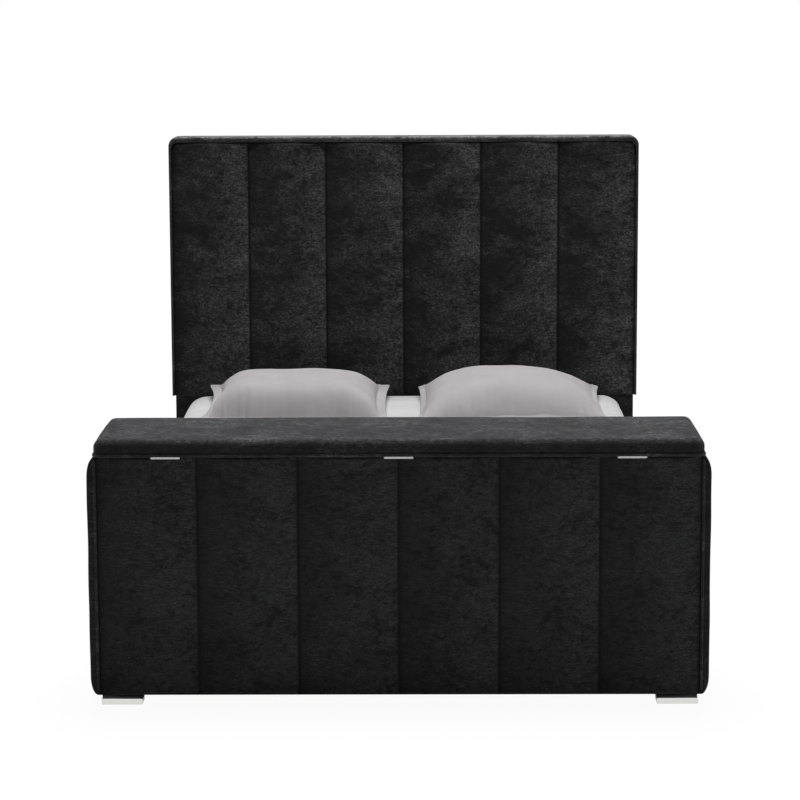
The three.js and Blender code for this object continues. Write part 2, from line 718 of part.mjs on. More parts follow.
// Headboard, seen from the crown of its padding, on the floor
function addHeadboard(bed) {
  const headboard = groupAt(bed, 0, headboardY, 0);
  const coreHalfWidth = headboardHalfWidth - borderSideWidth - fitGap;
  const coreTopZ = headboardTopZ - borderTopWidth - fitGap;
  const coreRadius = [borderCornerRadius - borderSideWidth, borderCornerRadius - borderSideWidth];
  const padHeight = coreTopZ - headboardPadBottomZ;
  const outline = (bottomZ) => new THREE.Shape(
    roundedPoints(-coreHalfWidth, coreHalfWidth, bottomZ, coreTopZ, [0, 0, coreRadius, coreRadius]));

  addPiece(headboard, 'headboard_board', 'plywood',
    extrude(outline(glideHeight + fitGap), headboardBoardThickness, alongY),
    0, headboardPadThickness + fitGap + headboardBoardThickness / 2, 0);
  const pad = channelledPad(
    2 * coreHalfWidth, padHeight, headboardPadThickness, headboardSeamDepth, headboardChannels,
    headboardPadEdgeRadius,
  ).translate(0, 0, headboardPadBottomZ + padHeight / 2);
  addPiece(headboard, 'headboard_pad', 'velvet',
    common(pad, extrude(outline(headboardPadBottomZ), 2 * headboardPadThickness + cutOverrun, alongY)),
    0, headboardPadThickness, 0);
  addPiece(headboard, 'headboard_border', 'velvet', headboardBorder(), 0, borderSetback, 0);

  for (const [sideName, side] of sides) {
    addPiece(headboard, `headboard_glide_${sideName}`, 'blackPlastic', glide(),
      side * (headboardHalfWidth - glideInset),
      headboardPadThickness + fitGap + headboardBoardThickness / 2, 0);
  }
}

// Band round the sides and top of the padding and the board, open at the bottom
function headboardBorder() {
  const depth = backY - headboardY - borderSetback;
  const outer = [borderCornerRadius, borderCornerRadius];
  const inner = [borderCornerRadius - borderSideWidth, borderCornerRadius - borderSideWidth];
  const innerHalfWidth = headboardHalfWidth - borderSideWidth;
  const band = roundedPoints(
    -headboardHalfWidth, headboardHalfWidth, headboardPadBottomZ, headboardTopZ, [0, 0, outer, outer]);
  const opening = roundedPoints(
    -innerHalfWidth, innerHalfWidth, headboardPadBottomZ - cutOverrun, headboardTopZ - borderTopWidth,
    [0, 0, inner, inner]);
  return cut(
    extrude(new THREE.Shape(band), depth, alongY),
    extrude(new THREE.Shape(opening), depth + cutOverrun, alongY),
  ).translate(0, depth / 2, 0);
}

function glide() {
  const radius = glideDiameter / 2;
  const profile = [
    [0, 0], [radius - glideChamfer, 0], [radius, glideChamfer], [radius, glideHeight], [0, glideHeight],
  ];
  return new THREE.LatheGeometry(profile.map(([x, y]) => new THREE.Vector2(x, y)), roundSegments)
    .rotateX(Math.PI / 2);
}

// Mattress and two pillows, seen from the mattress's underside at the box's back
function addBedding(bed) {
  const bedding = groupAt(bed, 0, boxDepth, mattressZ);
  const edge = mattressEdgeRadius;
  const core = new THREE.ExtrudeGeometry(
    roundedRectangle(mattressWidth - 2 * edge, mattressLength - 2 * edge, mattressCornerRadius - edge),
    {
      depth: mattressHeight - 2 * edge,
      bevelThickness: edge,
      bevelSize: edge,
      bevelSegments: arcSegments,
    },
  ).translate(0, 0, edge);
  addPiece(bedding, 'mattress', 'cotton', core, 0, mattressEndPlay + mattressLength / 2, 0);

  const pillowY = mattressLength + 2 * mattressEndPlay - pillowSetback - pillowDepth / 2;
  for (const [sideName, side] of sides) {
    addPiece(bedding, `pillow_${sideName}`, 'sateen', pillow(),
      side * pillowSpacing / 2, pillowY, mattressHeight + fitGap + pillowBelly);
  }
}

// Squared-off ball, fuller above its edge than below
function pillow() {
  const geometry = new THREE.SphereGeometry(1, pillowSegments, pillowSegments / 2).rotateX(Math.PI / 2);
  const position = geometry.attributes.position;
  const point = new THREE.Vector3();
  for (let index = 0; index < position.count; index += 1) {
    point.fromBufferAttribute(position, index);
    const round = Math.hypot(point.x, point.y);
    const square = (
      Math.abs(point.x) ** pillowSquareness + Math.abs(point.y) ** pillowSquareness
    ) ** (1 / pillowSquareness);
    const stretch = square > 0 ? round / square : 1;
    position.setXYZ(
      index,
      point.x * stretch * pillowWidth / 2,
      point.y * stretch * pillowDepth / 2,
      point.z * (point.z > 0 ? pillowCrown : pillowBelly),
    );
  }
  geometry.computeVertexNormals();
  return geometry;
}

const bed = new THREE.Group();
bed.position.y = -(frontY + backY) / 2;
addBox(bed);
addLid(bed);
addHinges(bed);
addLift(bed);
addBase(bed);
addHeadboard(bed);
addBedding(bed);

export default bed;
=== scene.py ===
# Looks of an upholstered TV bed: crushed velvet padding, dressed mattress, lift and hinges.
# Everything is in metres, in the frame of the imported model.

import math

import bmesh
import bpy
from mathutils import Matrix, Vector, noise


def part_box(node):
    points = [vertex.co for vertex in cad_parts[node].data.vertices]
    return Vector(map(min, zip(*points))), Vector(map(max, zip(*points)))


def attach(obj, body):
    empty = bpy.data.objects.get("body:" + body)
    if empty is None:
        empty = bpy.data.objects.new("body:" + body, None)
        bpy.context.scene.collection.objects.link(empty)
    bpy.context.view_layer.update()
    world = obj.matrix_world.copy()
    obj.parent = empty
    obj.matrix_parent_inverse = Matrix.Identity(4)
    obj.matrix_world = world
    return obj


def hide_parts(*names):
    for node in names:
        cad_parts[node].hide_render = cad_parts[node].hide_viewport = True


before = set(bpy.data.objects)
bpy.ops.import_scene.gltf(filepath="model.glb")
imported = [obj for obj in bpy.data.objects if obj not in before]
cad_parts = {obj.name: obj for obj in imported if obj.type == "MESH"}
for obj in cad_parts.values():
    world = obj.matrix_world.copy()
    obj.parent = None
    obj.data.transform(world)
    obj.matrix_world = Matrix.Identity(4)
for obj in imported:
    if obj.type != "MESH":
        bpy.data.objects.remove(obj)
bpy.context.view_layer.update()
print("frame loaded:", len(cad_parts), "nodes")

scene = bpy.context.scene


# Materials

def blankMaterial(name):
    material = bpy.data.materials.new(name)
    material.use_nodes = True
    return material


def feed(owner, target, value):
    # Links a socket, sets a plain value
    if isinstance(value, bpy.types.NodeSocket):
        owner.node_tree.links.new(value, target)
    else:
        target.default_value = value


def addNode(owner, kind, inputs=None, **settings):
    node = owner.node_tree.nodes.new("ShaderNode" + kind)
    for key, value in settings.items():
        setattr(node, key, value)
    for key, value in (inputs or {}).items():
        feed(owner, node.inputs[key], value)
    return node


def shaderOf(material, **values):
    # An underscore stands for a space in the socket's name
    shader = material.node_tree.nodes["Principled BSDF"]
    for key, value in values.items():
        feed(material, shader.inputs[key.replace("_", " ")], value)
    return shader


def objectCoords(material, scale=(1, 1, 1)):
    coords = addNode(material, "TexCoord").outputs["Object"]
    return addNode(material, "Mapping", {"Vector": coords, "Scale": scale}).outputs["Vector"]


def noiseValue(material, coords, scale, detail=4, roughness=0.6, distortion=0.0):
    node = addNode(material, "TexNoise", {
        "Vector": coords, "Scale": scale, "Detail": detail, "Roughness": roughness,
        "Distortion": distortion})
    return node.outputs["Fac"]


def mathValue(owner, operation, *values):
    return addNode(owner, "Math", dict(enumerate(values)), operation=operation).outputs[0]


def rampColour(material, value, stops):
    ramp = addNode(material, "ValToRGB", {"Fac": value})
    elements = ramp.color_ramp.elements
    while len(elements) < len(stops):
        elements.new(0.5)
    for element, (position, colour) in zip(elements, stops):
        element.position = position
        element.color = (*colour, 1)
    return ramp.outputs["Color"]


def rampGrey(material, value, darkAt, lightAt, dark=0.0):
    return rampColour(material, value, [(darkAt, (dark,) * 3), (lightAt, (1,) * 3)])


def bumpNormal(material, height, strength, distance, **below):
    bump = addNode(material, "Bump", {
        "Height": height, "Strength": strength, "Distance": distance, **below})
    return bump.outputs["Normal"]


velvetLook = {
    "deep": (0.0095, 0.0095, 0.0101),
    "body": (0.02, 0.02, 0.021),
    "crest": (0.128, 0.128, 0.13),
    "cloudScale": 9,
    "breakScale": 30,
    "crumbScale": 60,
    "threadScale": 95,
    "paintedLightSpread": 0.26,
    "paintedSheen": 0.09,
}


def makeVelvet(name, lift=1.0, sheen=0.1, crushed=1.0, fleckScale=140, relief=0.5, paintedLightGain=1.0):
    # Dull black pile with light flecks in crushed patches. Painted light: a vertex attribute adds patches
    # and a painted sheen on the lit side of each channel and on top faces, and lift brightens the whole
    # copy
    look = velvetLook
    material = blankMaterial(name)
    flattened = objectCoords(material, (0.9, 0.9, 1.3))
    streaked = objectCoords(material, (0.75, 0.75, 1.25))
    woven = objectCoords(material, (0.4, 0.4, 5.5))
    cloud = noiseValue(material, streaked, look["cloudScale"], 7, 0.7, 0.5)
    broken = noiseValue(material, flattened, look["breakScale"], 4, 0.7, 0.8)
    fleck = noiseValue(material, flattened, fleckScale, 4, 0.85, 0.5)
    crumb = noiseValue(material, flattened, look["crumbScale"], 3, 0.8, 0.6)
    thread = noiseValue(material, woven, look["threadScale"], 3, 0.75)
    paintedLight = addNode(material, "Attribute", attribute_name="paintedLight").outputs["Fac"]
    seamShade = addNode(material, "Attribute", attribute_name="seamShade").outputs["Fac"]

    # patches with ragged edges, more of them where the vertex attribute paints light
    lifted = mathValue(material, "MULTIPLY_ADD", paintedLight, look["paintedLightSpread"] * paintedLightGain, cloud)
    ragged = mathValue(material, "MULTIPLY_ADD", broken, 0.5, -0.27)
    lifted = mathValue(material, "ADD", lifted, ragged)
    patch = rampGrey(material, lifted, 0.43, 0.86, 0.06)

    # light flecks and thread lines inside the patches
    speck = rampGrey(material, fleck, 0.48, 0.59)
    line = rampGrey(material, thread, 0.36, 0.62)
    lines = mathValue(material, "MULTIPLY", line, 0.26)
    bright = mathValue(material, "MULTIPLY_ADD", speck, 0.7, lines)
    bright = mathValue(material, "MULTIPLY", bright, patch)
    bright = mathValue(material, "MULTIPLY", bright, crushed)

    # faint lines everywhere, a painted sheen where the vertex attribute paints light, dark crumbs, painted
    # shade in the seams
    pile = mathValue(material, "MULTIPLY_ADD", line, 0.1, bright)
    pile = mathValue(material, "MULTIPLY_ADD", paintedLight, look["paintedSheen"] * paintedLightGain, pile)
    clustered = mathValue(material, "MULTIPLY_ADD", cloud, 0.55, -0.27)
    clustered = mathValue(material, "ADD", clustered, crumb)
    pile = mathValue(material, "MULTIPLY", pile, rampGrey(material, clustered, 0.35, 0.5, 0.2))
    outsideSeamShade = mathValue(material, "SUBTRACT", 1.0, seamShade)
    pile = mathValue(material, "MULTIPLY", pile, outsideSeamShade)
    stops = [(0.0, look["deep"]), (0.16, look["body"]), (1.0, look["crest"])]
    colour = rampColour(material, pile, [(at, tuple(lift * c for c in shade)) for at, shade in stops])
    soft = bumpNormal(material, cloud, 0.2, 0.006)
    shaderOf(material, Base_Color=colour, Normal=bumpNormal(material, fleck, relief, 0.0022, Normal=soft),
             Roughness=0.85, Sheen_Weight=sheen, Sheen_Roughness=0.5, Sheen_Tint=(0.85, 0.85, 0.86, 1),
             Specular_IOR_Level=0.035)
    return material


def makeCloth(name, colour, shade, roughness, weaveScale, sheen):
    material = blankMaterial(name)
    coords = objectCoords(material)
    threads = []
    for direction in ("X", "Y"):
        wave = addNode(material, "TexWave", {"Vector": coords, "Scale": weaveScale, "Distortion": 0.6},
                       bands_direction=direction)
        threads.append(wave.outputs["Fac"])
    weave = mathValue(material, "MULTIPLY", *threads)
    mottle = noiseValue(material, coords, 9, 4, 0.55)
    mixed = rampColour(material, mottle, [(0.35, shade), (0.65, colour)])
    shaderOf(material, Base_Color=mixed, Normal=bumpNormal(material, weave, 0.18, 0.0004),
             Roughness=roughness, Sheen_Weight=sheen, Sheen_Roughness=0.4, Specular_IOR_Level=0.1)
    return material


def makeWood(name, light, dark, grainAlong):
    material = blankMaterial(name)
    coords = objectCoords(material, {"x": (1.2, 22, 22), "y": (22, 1.2, 22)}[grainAlong])
    grain = noiseValue(material, coords, 2.4, 8, 0.62, 1.4)
    pores = noiseValue(material, coords, 14, 3, 0.7)
    colour = rampColour(material, grain, [(0.32, dark), (0.5, light), (0.68, dark)])
    shaderOf(material, Base_Color=colour, Normal=bumpNormal(material, pores, 0.15, 0.0006), Roughness=0.6)
    return material


def makeMetal(name, colour, roughness, brushed=(1, 1, 1), wear=0.05, dimmest=0.86):
    material = blankMaterial(name)
    marks = noiseValue(material, objectCoords(material, brushed), 90, 5, 0.65)
    rough = mathValue(material, "MULTIPLY_ADD", marks, wear, roughness)
    dim = tuple(dimmest * c for c in colour)
    mixed = rampColour(material, marks, [(0.3, dim), (0.7, colour)])
    shaderOf(material, Base_Color=mixed, Metallic=1.0, Roughness=rough)
    return material


def makeCoated(name, colour, roughness, pimple=0.12, scale=700):
    material = blankMaterial(name)
    texture = noiseValue(material, objectCoords(material), scale, 2, 0.5)
    rough = mathValue(material, "MULTIPLY_ADD", texture, 0.12, roughness)
    light = tuple(1.35 * c for c in colour)
    mixed = rampColour(material, texture, [(0.4, colour), (0.7, light)])
    bumped = bumpNormal(material, texture, pimple, 0.0004)
    shaderOf(material, Base_Color=mixed, Normal=bumped, Roughness=rough)
    return material


finish = {
    # Painted light: one velvet in copies of different brightness (the second number): the least for the
    # headboard's channels, the rails and the box's back, more for the box's front and sides, the most for
    # the lid, the headboard's border and the piping, whose extra brightness is a painted highlight
    "velvet": makeVelvet("crushedVelvet", 1.14),
    "velvetFront": makeVelvet("crushedVelvetFront", 2.1, 0.08, 0.18, paintedLightGain=1.2),
    "velvetSide": makeVelvet("crushedVelvetSide", 2.2, 0.12, 0.6),
    "velvetTop": makeVelvet("crushedVelvetTop", 2.6, 0.12, 0.5, 100, 1.3),
    "border": makeVelvet("velvetBorder", 2.45, 0.2, 0.8),
    "welt": makeVelvet("velvetWelt", 2.8, 0.25),
    "cotton": makeCloth("whiteCotton", (0.61, 0.61, 0.61), (0.57, 0.57, 0.575), 0.85, 420, 0.03),
    "sateen": makeCloth("silverSateen", (0.463, 0.448, 0.453), (0.42, 0.405, 0.41), 0.6, 560, 0.03),
    "lining": makeCloth("blackLining", (0.02, 0.02, 0.021), (0.014, 0.014, 0.015), 0.9, 300, 0.1),
    "plywood": makeWood("birchPly", (0.58, 0.42, 0.25), (0.46, 0.31, 0.17), "x"),
    "pineX": makeWood("pineSlat", (0.68, 0.49, 0.27), (0.56, 0.36, 0.17), "x"),
    "pineY": makeWood("pineBatten", (0.66, 0.47, 0.26), (0.54, 0.35, 0.17), "y"),
    "chrome": makeMetal("polishedChrome", (0.72, 0.72, 0.7), 0.06, wear=0.015, dimmest=0.98),
    "steel": makeMetal("zincSteel", (0.6, 0.61, 0.62), 0.2, (1, 14, 14), 0.12),
    "hingeSteel": makeMetal("hingeSteel", (0.42, 0.42, 0.42), 0.13, (1, 14, 14), 0.06),
    "silverSteel": makeMetal("silverSteel", (0.5, 0.51, 0.53), 0.3, (10, 10, 0.6), 0.15),
    "blackSteel": makeCoated("blackPowderCoat", (0.012, 0.012, 0.0135), 0.42),
    "blackPlastic": makeCoated("blackPlastic", (0.01, 0.01, 0.011), 0.5, 0.2, 1100),
}
print("materials made")


# Helpers for pieces

def addObject(name, data):
    made = bpy.data.objects.new(name, data)
    scene.collection.objects.link(made)
    return made


def meshOf(shape, name):
    mesh = bpy.data.meshes.new(name)
    shape.to_mesh(mesh)
    return mesh


def takeShape(shape, name, body, material, replaced=(), smooth=True, closed=True):
    if closed:
        bmesh.ops.recalc_face_normals(shape, faces=shape.faces)
    mesh = meshOf(shape, name)
    shape.free()
    mesh.materials.append(finish[material])
    for polygon in mesh.polygons:
        polygon.use_smooth = smooth
    piece = addObject(name, mesh)
    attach(piece, body)
    if replaced:
        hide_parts(*replaced)
    return piece


def addSubdivision(piece):
    modifier = piece.modifiers.new("subdivision", "SUBSURF")
    modifier.levels = modifier.render_levels = 1


def addWeightedNormals(piece):
    modifier = piece.modifiers.new("weighted", "WEIGHTED_NORMAL")
    modifier.keep_sharp = True


def bevelEdges(shape, edges, offset, segments):
    bmesh.ops.bevel(shape, geom=list(edges), offset=offset, segments=segments, profile=0.5,
                    affect="EDGES", material=-1, clamp_overlap=True)


def blockShape(low, high):
    shape = bmesh.new()
    bmesh.ops.create_cube(shape, size=1)
    bmesh.ops.scale(shape, verts=shape.verts, vec=high - low)
    bmesh.ops.translate(shape, verts=shape.verts, vec=(low + high) / 2)
    return shape


def edgesOn(shape, axis, level):
    # Edges that lie in the plane where the axis has this level
    return [e for e in shape.edges if all(abs(v.co[axis] - level) < 1e-5 for v in e.verts)]


def uprightEdges(shape):
    return [e for e in shape.edges if abs(e.verts[0].co.z - e.verts[1].co.z) > 0.01]


def cutAcross(shape, axis, low, high, count):
    # Even cuts along the axis, so that the faces between them can bend
    normal = Vector((0, 0, 0))
    normal[axis] = 1
    for step in range(1, count):
        place = Vector((0, 0, 0))
        place[axis] = low[axis] + (high[axis] - low[axis]) * step / count
        geom = [*shape.verts, *shape.edges, *shape.faces]
        bmesh.ops.bisect_plane(shape, geom=geom, plane_co=place, plane_no=normal)


def roundedBlock(node, spec):
    # Upright edges are rounded first, then the top ones, then the lower ones
    low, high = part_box(node)
    shape = blockShape(low, high)
    bevelEdges(shape, uprightEdges(shape), spec["cornerRadius"], spec["segments"])
    bevelEdges(shape, edgesOn(shape, 2, high.z), spec["topRadius"], spec["segments"])
    bevelEdges(shape, edgesOn(shape, 2, low.z), spec["lowerRadius"], spec["lowerSegments"])
    for axis, count in enumerate(spec["cuts"]):
        cutAcross(shape, axis, low, high, count)
    return shape


def rippleSide(shape, outer, within, amount, scale, seed):
    # Slight unevenness of the padding near its outer face
    offset = Vector((seed * 7.3, seed * 3.1, seed * 5.7))
    for vert in shape.verts:
        if abs(vert.co.x - outer) < within:
            vert.co.x += amount * noise.noise(vert.co * scale + offset)


def openEdges(shape):
    return [e for e in shape.edges if e.is_boundary]


def vertsOf(made):
    return [item for item in made["geom"] if isinstance(item, bmesh.types.BMVert)]


def quarterArc(centre, radius, start, turn, steps):
    # Both ends included; turn is 1 or -1
    centreX, centreY = centre
    angles = [start + turn * math.pi / 2 * step / steps for step in range(steps + 1)]
    return [(centreX + radius * math.cos(angle), centreY + radius * math.sin(angle)) for angle in angles]


def spread(start, end, pitch):
    count = round((end - start) / pitch)
    return [start + (end - start) * index / count for index in range(1, count)]


def paintedTopLight(z, top, spec):
    # Painted highlight near the top: full on the top face, fading out just below it
    return spec["paintedTopLight"] * min(1, max(0, (z - top + spec["paintedTopDepth"]) / spec["paintedTopOver"]))


sides = (("left", -1), ("right", 1))


# Channelled padding of the headboard and of the box's front

def easedShare(share):
    return 0.5 - 0.5 * math.cos(math.pi * share)


def channelledPad(name, node, spec):
    low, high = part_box(node)
    width = high.x - low.x
    height = high.z - low.z
    channels = spec["channels"]
    across = spec["acrossChannel"]
    shape = bmesh.new()
    bmesh.ops.create_grid(shape, x_segments=channels * across, y_segments=spec["rows"], size=0.5)
    paintedLightLayer = shape.verts.layers.float.new("paintedLight")
    seamShadeLayer = shape.verts.layers.float.new("seamShade")
    for vert in shape.verts:
        share = min(max(vert.co.x + 0.5, 0), 1) * channels
        channel = min(int(share + 1e-6), channels - 1)
        inChannel = share - channel
        inChannel += 0.6 * (easedShare(inChannel) - inChannel)  # columns closer at the seams
        toSeam = min(inChannel, 1 - inChannel) * width / channels
        # Painted light: each channel lighter towards its right-hand seam, as if lit from the right
        vert[paintedLightLayer] = inChannel ** spec["paintedLightPower"]
        # Painted shade: darkest on the seam, gone a few millimetres from it
        vert[seamShadeLayer] = max(0, 1 - toSeam / spec["seamShadeWidth"])
        upShare = vert.co.y + 0.5
        upShare += 0.75 * (easedShare(upShare) - upShare)  # rows closer at the top and the bottom
        x = low.x + (channel + inChannel) * width / channels
        z = low.z + upShare * height
        x, z, edge = roundCorners(x, z, low, high, spec["cornerRadius"])
        reach = abs(2 * inChannel - 1)
        arch = max(0, 1 - reach ** 3.2) ** 0.5
        crown = spec["round"] * (1 - reach ** 2) + (1 - spec["round"]) * arch
        z -= spec["scallop"] * (1 - crown) * max(0, 2 * upShare - 1) ** 6
        swell = 1 + spec["wander"] * noise.noise(Vector((channel * 3.7, z * 5, spec["seed"])))
        pucker = noise.noise(Vector((x * 18, z * 46, spec["seed"] + channel)))
        pucker *= spec["pucker"] * (1 - crown)
        depth = spec["thickness"] - spec["seamDepth"] * (1 - crown * swell) + pucker
        roll = math.sqrt(max(0, 1 - (1 - min(edge / spec["edgeRadius"], 1)) ** 2))
        rim = spec["rim"]
        depth = rim + (depth - rim) * roll
        vert.co = Vector((x, high.y - depth, z))
    for vert in vertsOf(bmesh.ops.extrude_edge_only(shape, edges=openEdges(shape))):
        vert.co.y = high.y
    bmesh.ops.holes_fill(shape, edges=openEdges(shape), sides=0)
    piece = takeShape(shape, name, "bed", spec["cloth"], [node])


def roundCorners(x, z, low, high, radius):
    # Pulls the points of the top corners onto an arc and returns how far inside the edge they lie
    toSide = min(x - low.x, high.x - x)
    toTop = high.z - z
    edge = min(toSide, toTop, z - low.z)
    if radius > 0 and toSide < radius and toTop < radius:
        outX, outZ = radius - toSide, radius - toTop
        reach = math.hypot(outX, outZ)
        if reach > 0:
            factor = max(outX, outZ) / reach
            sideSign = 1 if x > (low.x + high.x) / 2 else -1
            centreX = (high.x if sideSign > 0 else low.x) - sideSign * radius
            x = centreX + sideSign * outX * factor
            z = high.z - radius + outZ * factor
    return x, z, max(edge, 0)


headboardPadSpec = {
    "channels": 6, "acrossChannel": 22, "rows": 110, "thickness": 0.05, "seamDepth": 0.018, "round": 0.5,
    "scallop": 0.005, "cornerRadius": 0.024, "edgeRadius": 0.009, "rim": 0.036, "seamShadeWidth": 0.006,
    "paintedLightPower": 1.2, "cloth": "velvet", "wander": 0.1, "pucker": 0.0012, "seed": 3.0,
}
frontPadSpec = {
    **headboardPadSpec, "rows": 90, "thickness": 0.022, "seamDepth": 0.014, "scallop": 0.0,
    "cornerRadius": 0.0, "edgeRadius": 0.007, "rim": 0.015, "paintedLightPower": 0.42, "cloth": "velvetFront",
    "wander": 0.12, "pucker": 0.001, "seed": 8.0,
}
channelledPad("headboardPadding", "headboard_pad", headboardPadSpec)
channelledPad("boxFrontPadding", "tv_box_front_pad", frontPadSpec)
print("channelled padding made")


# Sides, back and lid of the box

sidePadSpec = {"shoulderWidth": 0.0195, "shoulderHeight": 0.05, "nose": 0.006, "segments": 10,
               "rows": 24, "columns": 12, "ripple": 0.0016, "weltRadius": 0.0033, "weltInset": 0.0035,
               "weltOut": 0.0004, "weltFromFloor": 0.012, "weltFromTop": 0.008}


def boxSidePad(side, sign):
    # The shoulders are higher than wide, so they are bevelled while the pad is squeezed
    node = f"tv_box_side_pad_{side}"
    spec = sidePadSpec
    low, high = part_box(node)
    squeeze = Matrix.Diagonal((1, 1, spec["shoulderWidth"] / spec["shoulderHeight"], 1))
    middle = (low + high) / 2
    squeeze = Matrix.Translation(middle) @ squeeze @ Matrix.Translation(-middle)
    shape = blockShape(low, high)
    bmesh.ops.transform(shape, matrix=squeeze, verts=shape.verts)
    outer = high.x if sign > 0 else low.x
    shoulders = [e for e in edgesOn(shape, 0, outer) if abs(e.verts[0].co.z - e.verts[1].co.z) < 1e-5]
    bevelEdges(shape, shoulders, spec["shoulderWidth"], spec["segments"])
    bmesh.ops.transform(shape, matrix=squeeze.inverted(), verts=shape.verts)
    ends = [e for e in edgesOn(shape, 1, low.y)
            if len(e.link_faces) == 2 and abs(abs(e.calc_face_angle(0)) - math.pi / 2) < 0.05]
    bevelEdges(shape, ends, spec["nose"], 4)
    cutAcross(shape, 2, low, high, spec["rows"])
    cutAcross(shape, 1, low, high, spec["columns"])
    rippleSide(shape, outer, 0.004, spec["ripple"], 9, 2 + sign)
    piece = takeShape(shape, f"boxSidePadding_{side}", "bed", "velvetSide", [node])


def weltCord(name, points, radius, body="bed"):
    curve = bpy.data.curves.new(name, "CURVE")
    curve.dimensions = "3D"
    curve.bevel_depth = radius
    curve.bevel_resolution = 3
    curve.use_fill_caps = True
    spline = curve.splines.new("POLY")
    spline.points.add(len(points) - 1)
    for point, place in zip(spline.points, points):
        point.co = (*place, 1)
    curve.materials.append(finish["welt"])
    welt = addObject(name, curve)
    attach(welt, body)


def sideWelt(side, sign):
    low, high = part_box(f"tv_box_side_pad_{side}")
    inner = low.x if sign > 0 else high.x
    x = inner + sign * sidePadSpec["weltInset"]
    y = low.y - sidePadSpec["weltOut"]
    bottom, top = low.z + sidePadSpec["weltFromFloor"], high.z - sidePadSpec["weltFromTop"]
    points = [Vector((x, y, bottom + (top - bottom) * step / 30)) for step in range(31)]
    weltCord(f"boxSideWelt_{side}", points, sidePadSpec["weltRadius"])


for sideName, sideSign in sides:
    boxSidePad(sideName, sideSign)
    sideWelt(sideName, sideSign)


boxBackSpec = {"edge": 0.004, "segments": 4}


def boxBackWrap():
    node = "tv_box_back_board"
    shape = blockShape(*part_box(node))
    bevelEdges(shape, shape.edges, boxBackSpec["edge"], boxBackSpec["segments"])
    addWeightedNormals(takeShape(shape, "boxBackWrap", "bed", "velvet", [node]))


boxBackWrap()


lidSpec = {"topRadius": 0.021, "cornerRadius": 0.024, "lowerRadius": 0.004, "segments": 7,
           "lowerSegments": 4, "cuts": (64, 16, 1), "crown": 0.002, "ripple": 0.0016,
           "paintedTopLight": 0.5, "paintedTopDepth": 0.01, "paintedTopOver": 0.008,
           "weltRadius": 0.0031, "weltRise": 0.0056, "weltOut": 0.001, "weltFront": 0.0012,
           "weltFromBack": 0.03}


def lidPadding():
    low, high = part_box("lid_pad")
    spec = lidSpec
    shape = roundedBlock("lid_pad", spec)
    centreY = (low.y + high.y) / 2
    halfDepth = (high.y - low.y) / 2
    paintedLightLayer = shape.verts.layers.float.new("paintedLight")
    for vert in shape.verts:
        x, y, z = vert.co
        # Painted highlight on the lid's top face
        vert[paintedLightLayer] = paintedTopLight(z, high.z, spec)
        if z > low.z + 0.012:
            inward = 1 - abs(y - centreY) / halfDepth
            rise = spec["crown"] * math.sin(math.pi / 2 * min(1, max(0, inward) * 1.6))
            ripple = spec["ripple"] * noise.noise(Vector((x * 7, y * 11, 4.2)))
            vert.co.z += rise - spec["crown"] + ripple
    piece = takeShape(shape, "lidPadding", "lid", "velvetTop", ["lid_pad"])


def lidWelt():
    # Piping along the lid's lower edge, front and sides
    low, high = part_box("lid_board")
    spec = lidSpec
    corner = spec["cornerRadius"] + spec["weltOut"]
    left, right = low.x - spec["weltOut"], high.x + spec["weltOut"]
    front, back = low.y - spec["weltFront"], high.y - spec["weltFromBack"]
    width, depth = right - left - 2 * corner, back - front - corner
    path = [(left, back - depth * step / 12) for step in range(12)]
    path += quarterArc((left + corner, front + corner), corner, math.pi, 1, 8)
    path += [(left + corner + width * step / 60, front) for step in range(1, 60)]
    path += quarterArc((right - corner, front + corner), corner, 1.5 * math.pi, 1, 8)
    path += [(right, front + corner + depth * step / 12) for step in range(1, 13)]
    z = low.z + spec["weltRise"]
    weltCord("lidWelt", [Vector((x, y, z)) for x, y in path], spec["weltRadius"], "lid")


lidPadding()
lidWelt()
print("box and lid dressed")


# Headboard

headboardSpec = {"sideWidth": 0.008, "topWidth": 0.019, "cornerRadius": 0.032, "edgeRadius": 0.0065,
                 "bulge": 0.011, "arcSteps": 8, "paintedTopLight": 3.2, "paintedTopDepth": 0.008, "paintedTopOver": 0.006}


def borderOutline(halfWidth, bottom, top, radius):
    # Up the left side, over the top and down the right side
    steps = headboardSpec["arcSteps"]
    rise = [bottom + (top - radius - bottom) * step / 16 for step in range(17)]
    across = [(halfWidth - radius) * (-1 + 2 * step / 24) for step in range(1, 24)]
    leftCorner = quarterArc((radius - halfWidth, top - radius), radius, math.pi, -1, steps)[1:]
    rightCorner = quarterArc((halfWidth - radius, top - radius), radius, math.pi / 2, -1, steps)[:-1]
    leftSide = [(-halfWidth, z) for z in rise]
    rightSide = [(halfWidth, z) for z in reversed(rise)]
    return leftSide + leftCorner + [(x, top) for x in across] + rightCorner + rightSide


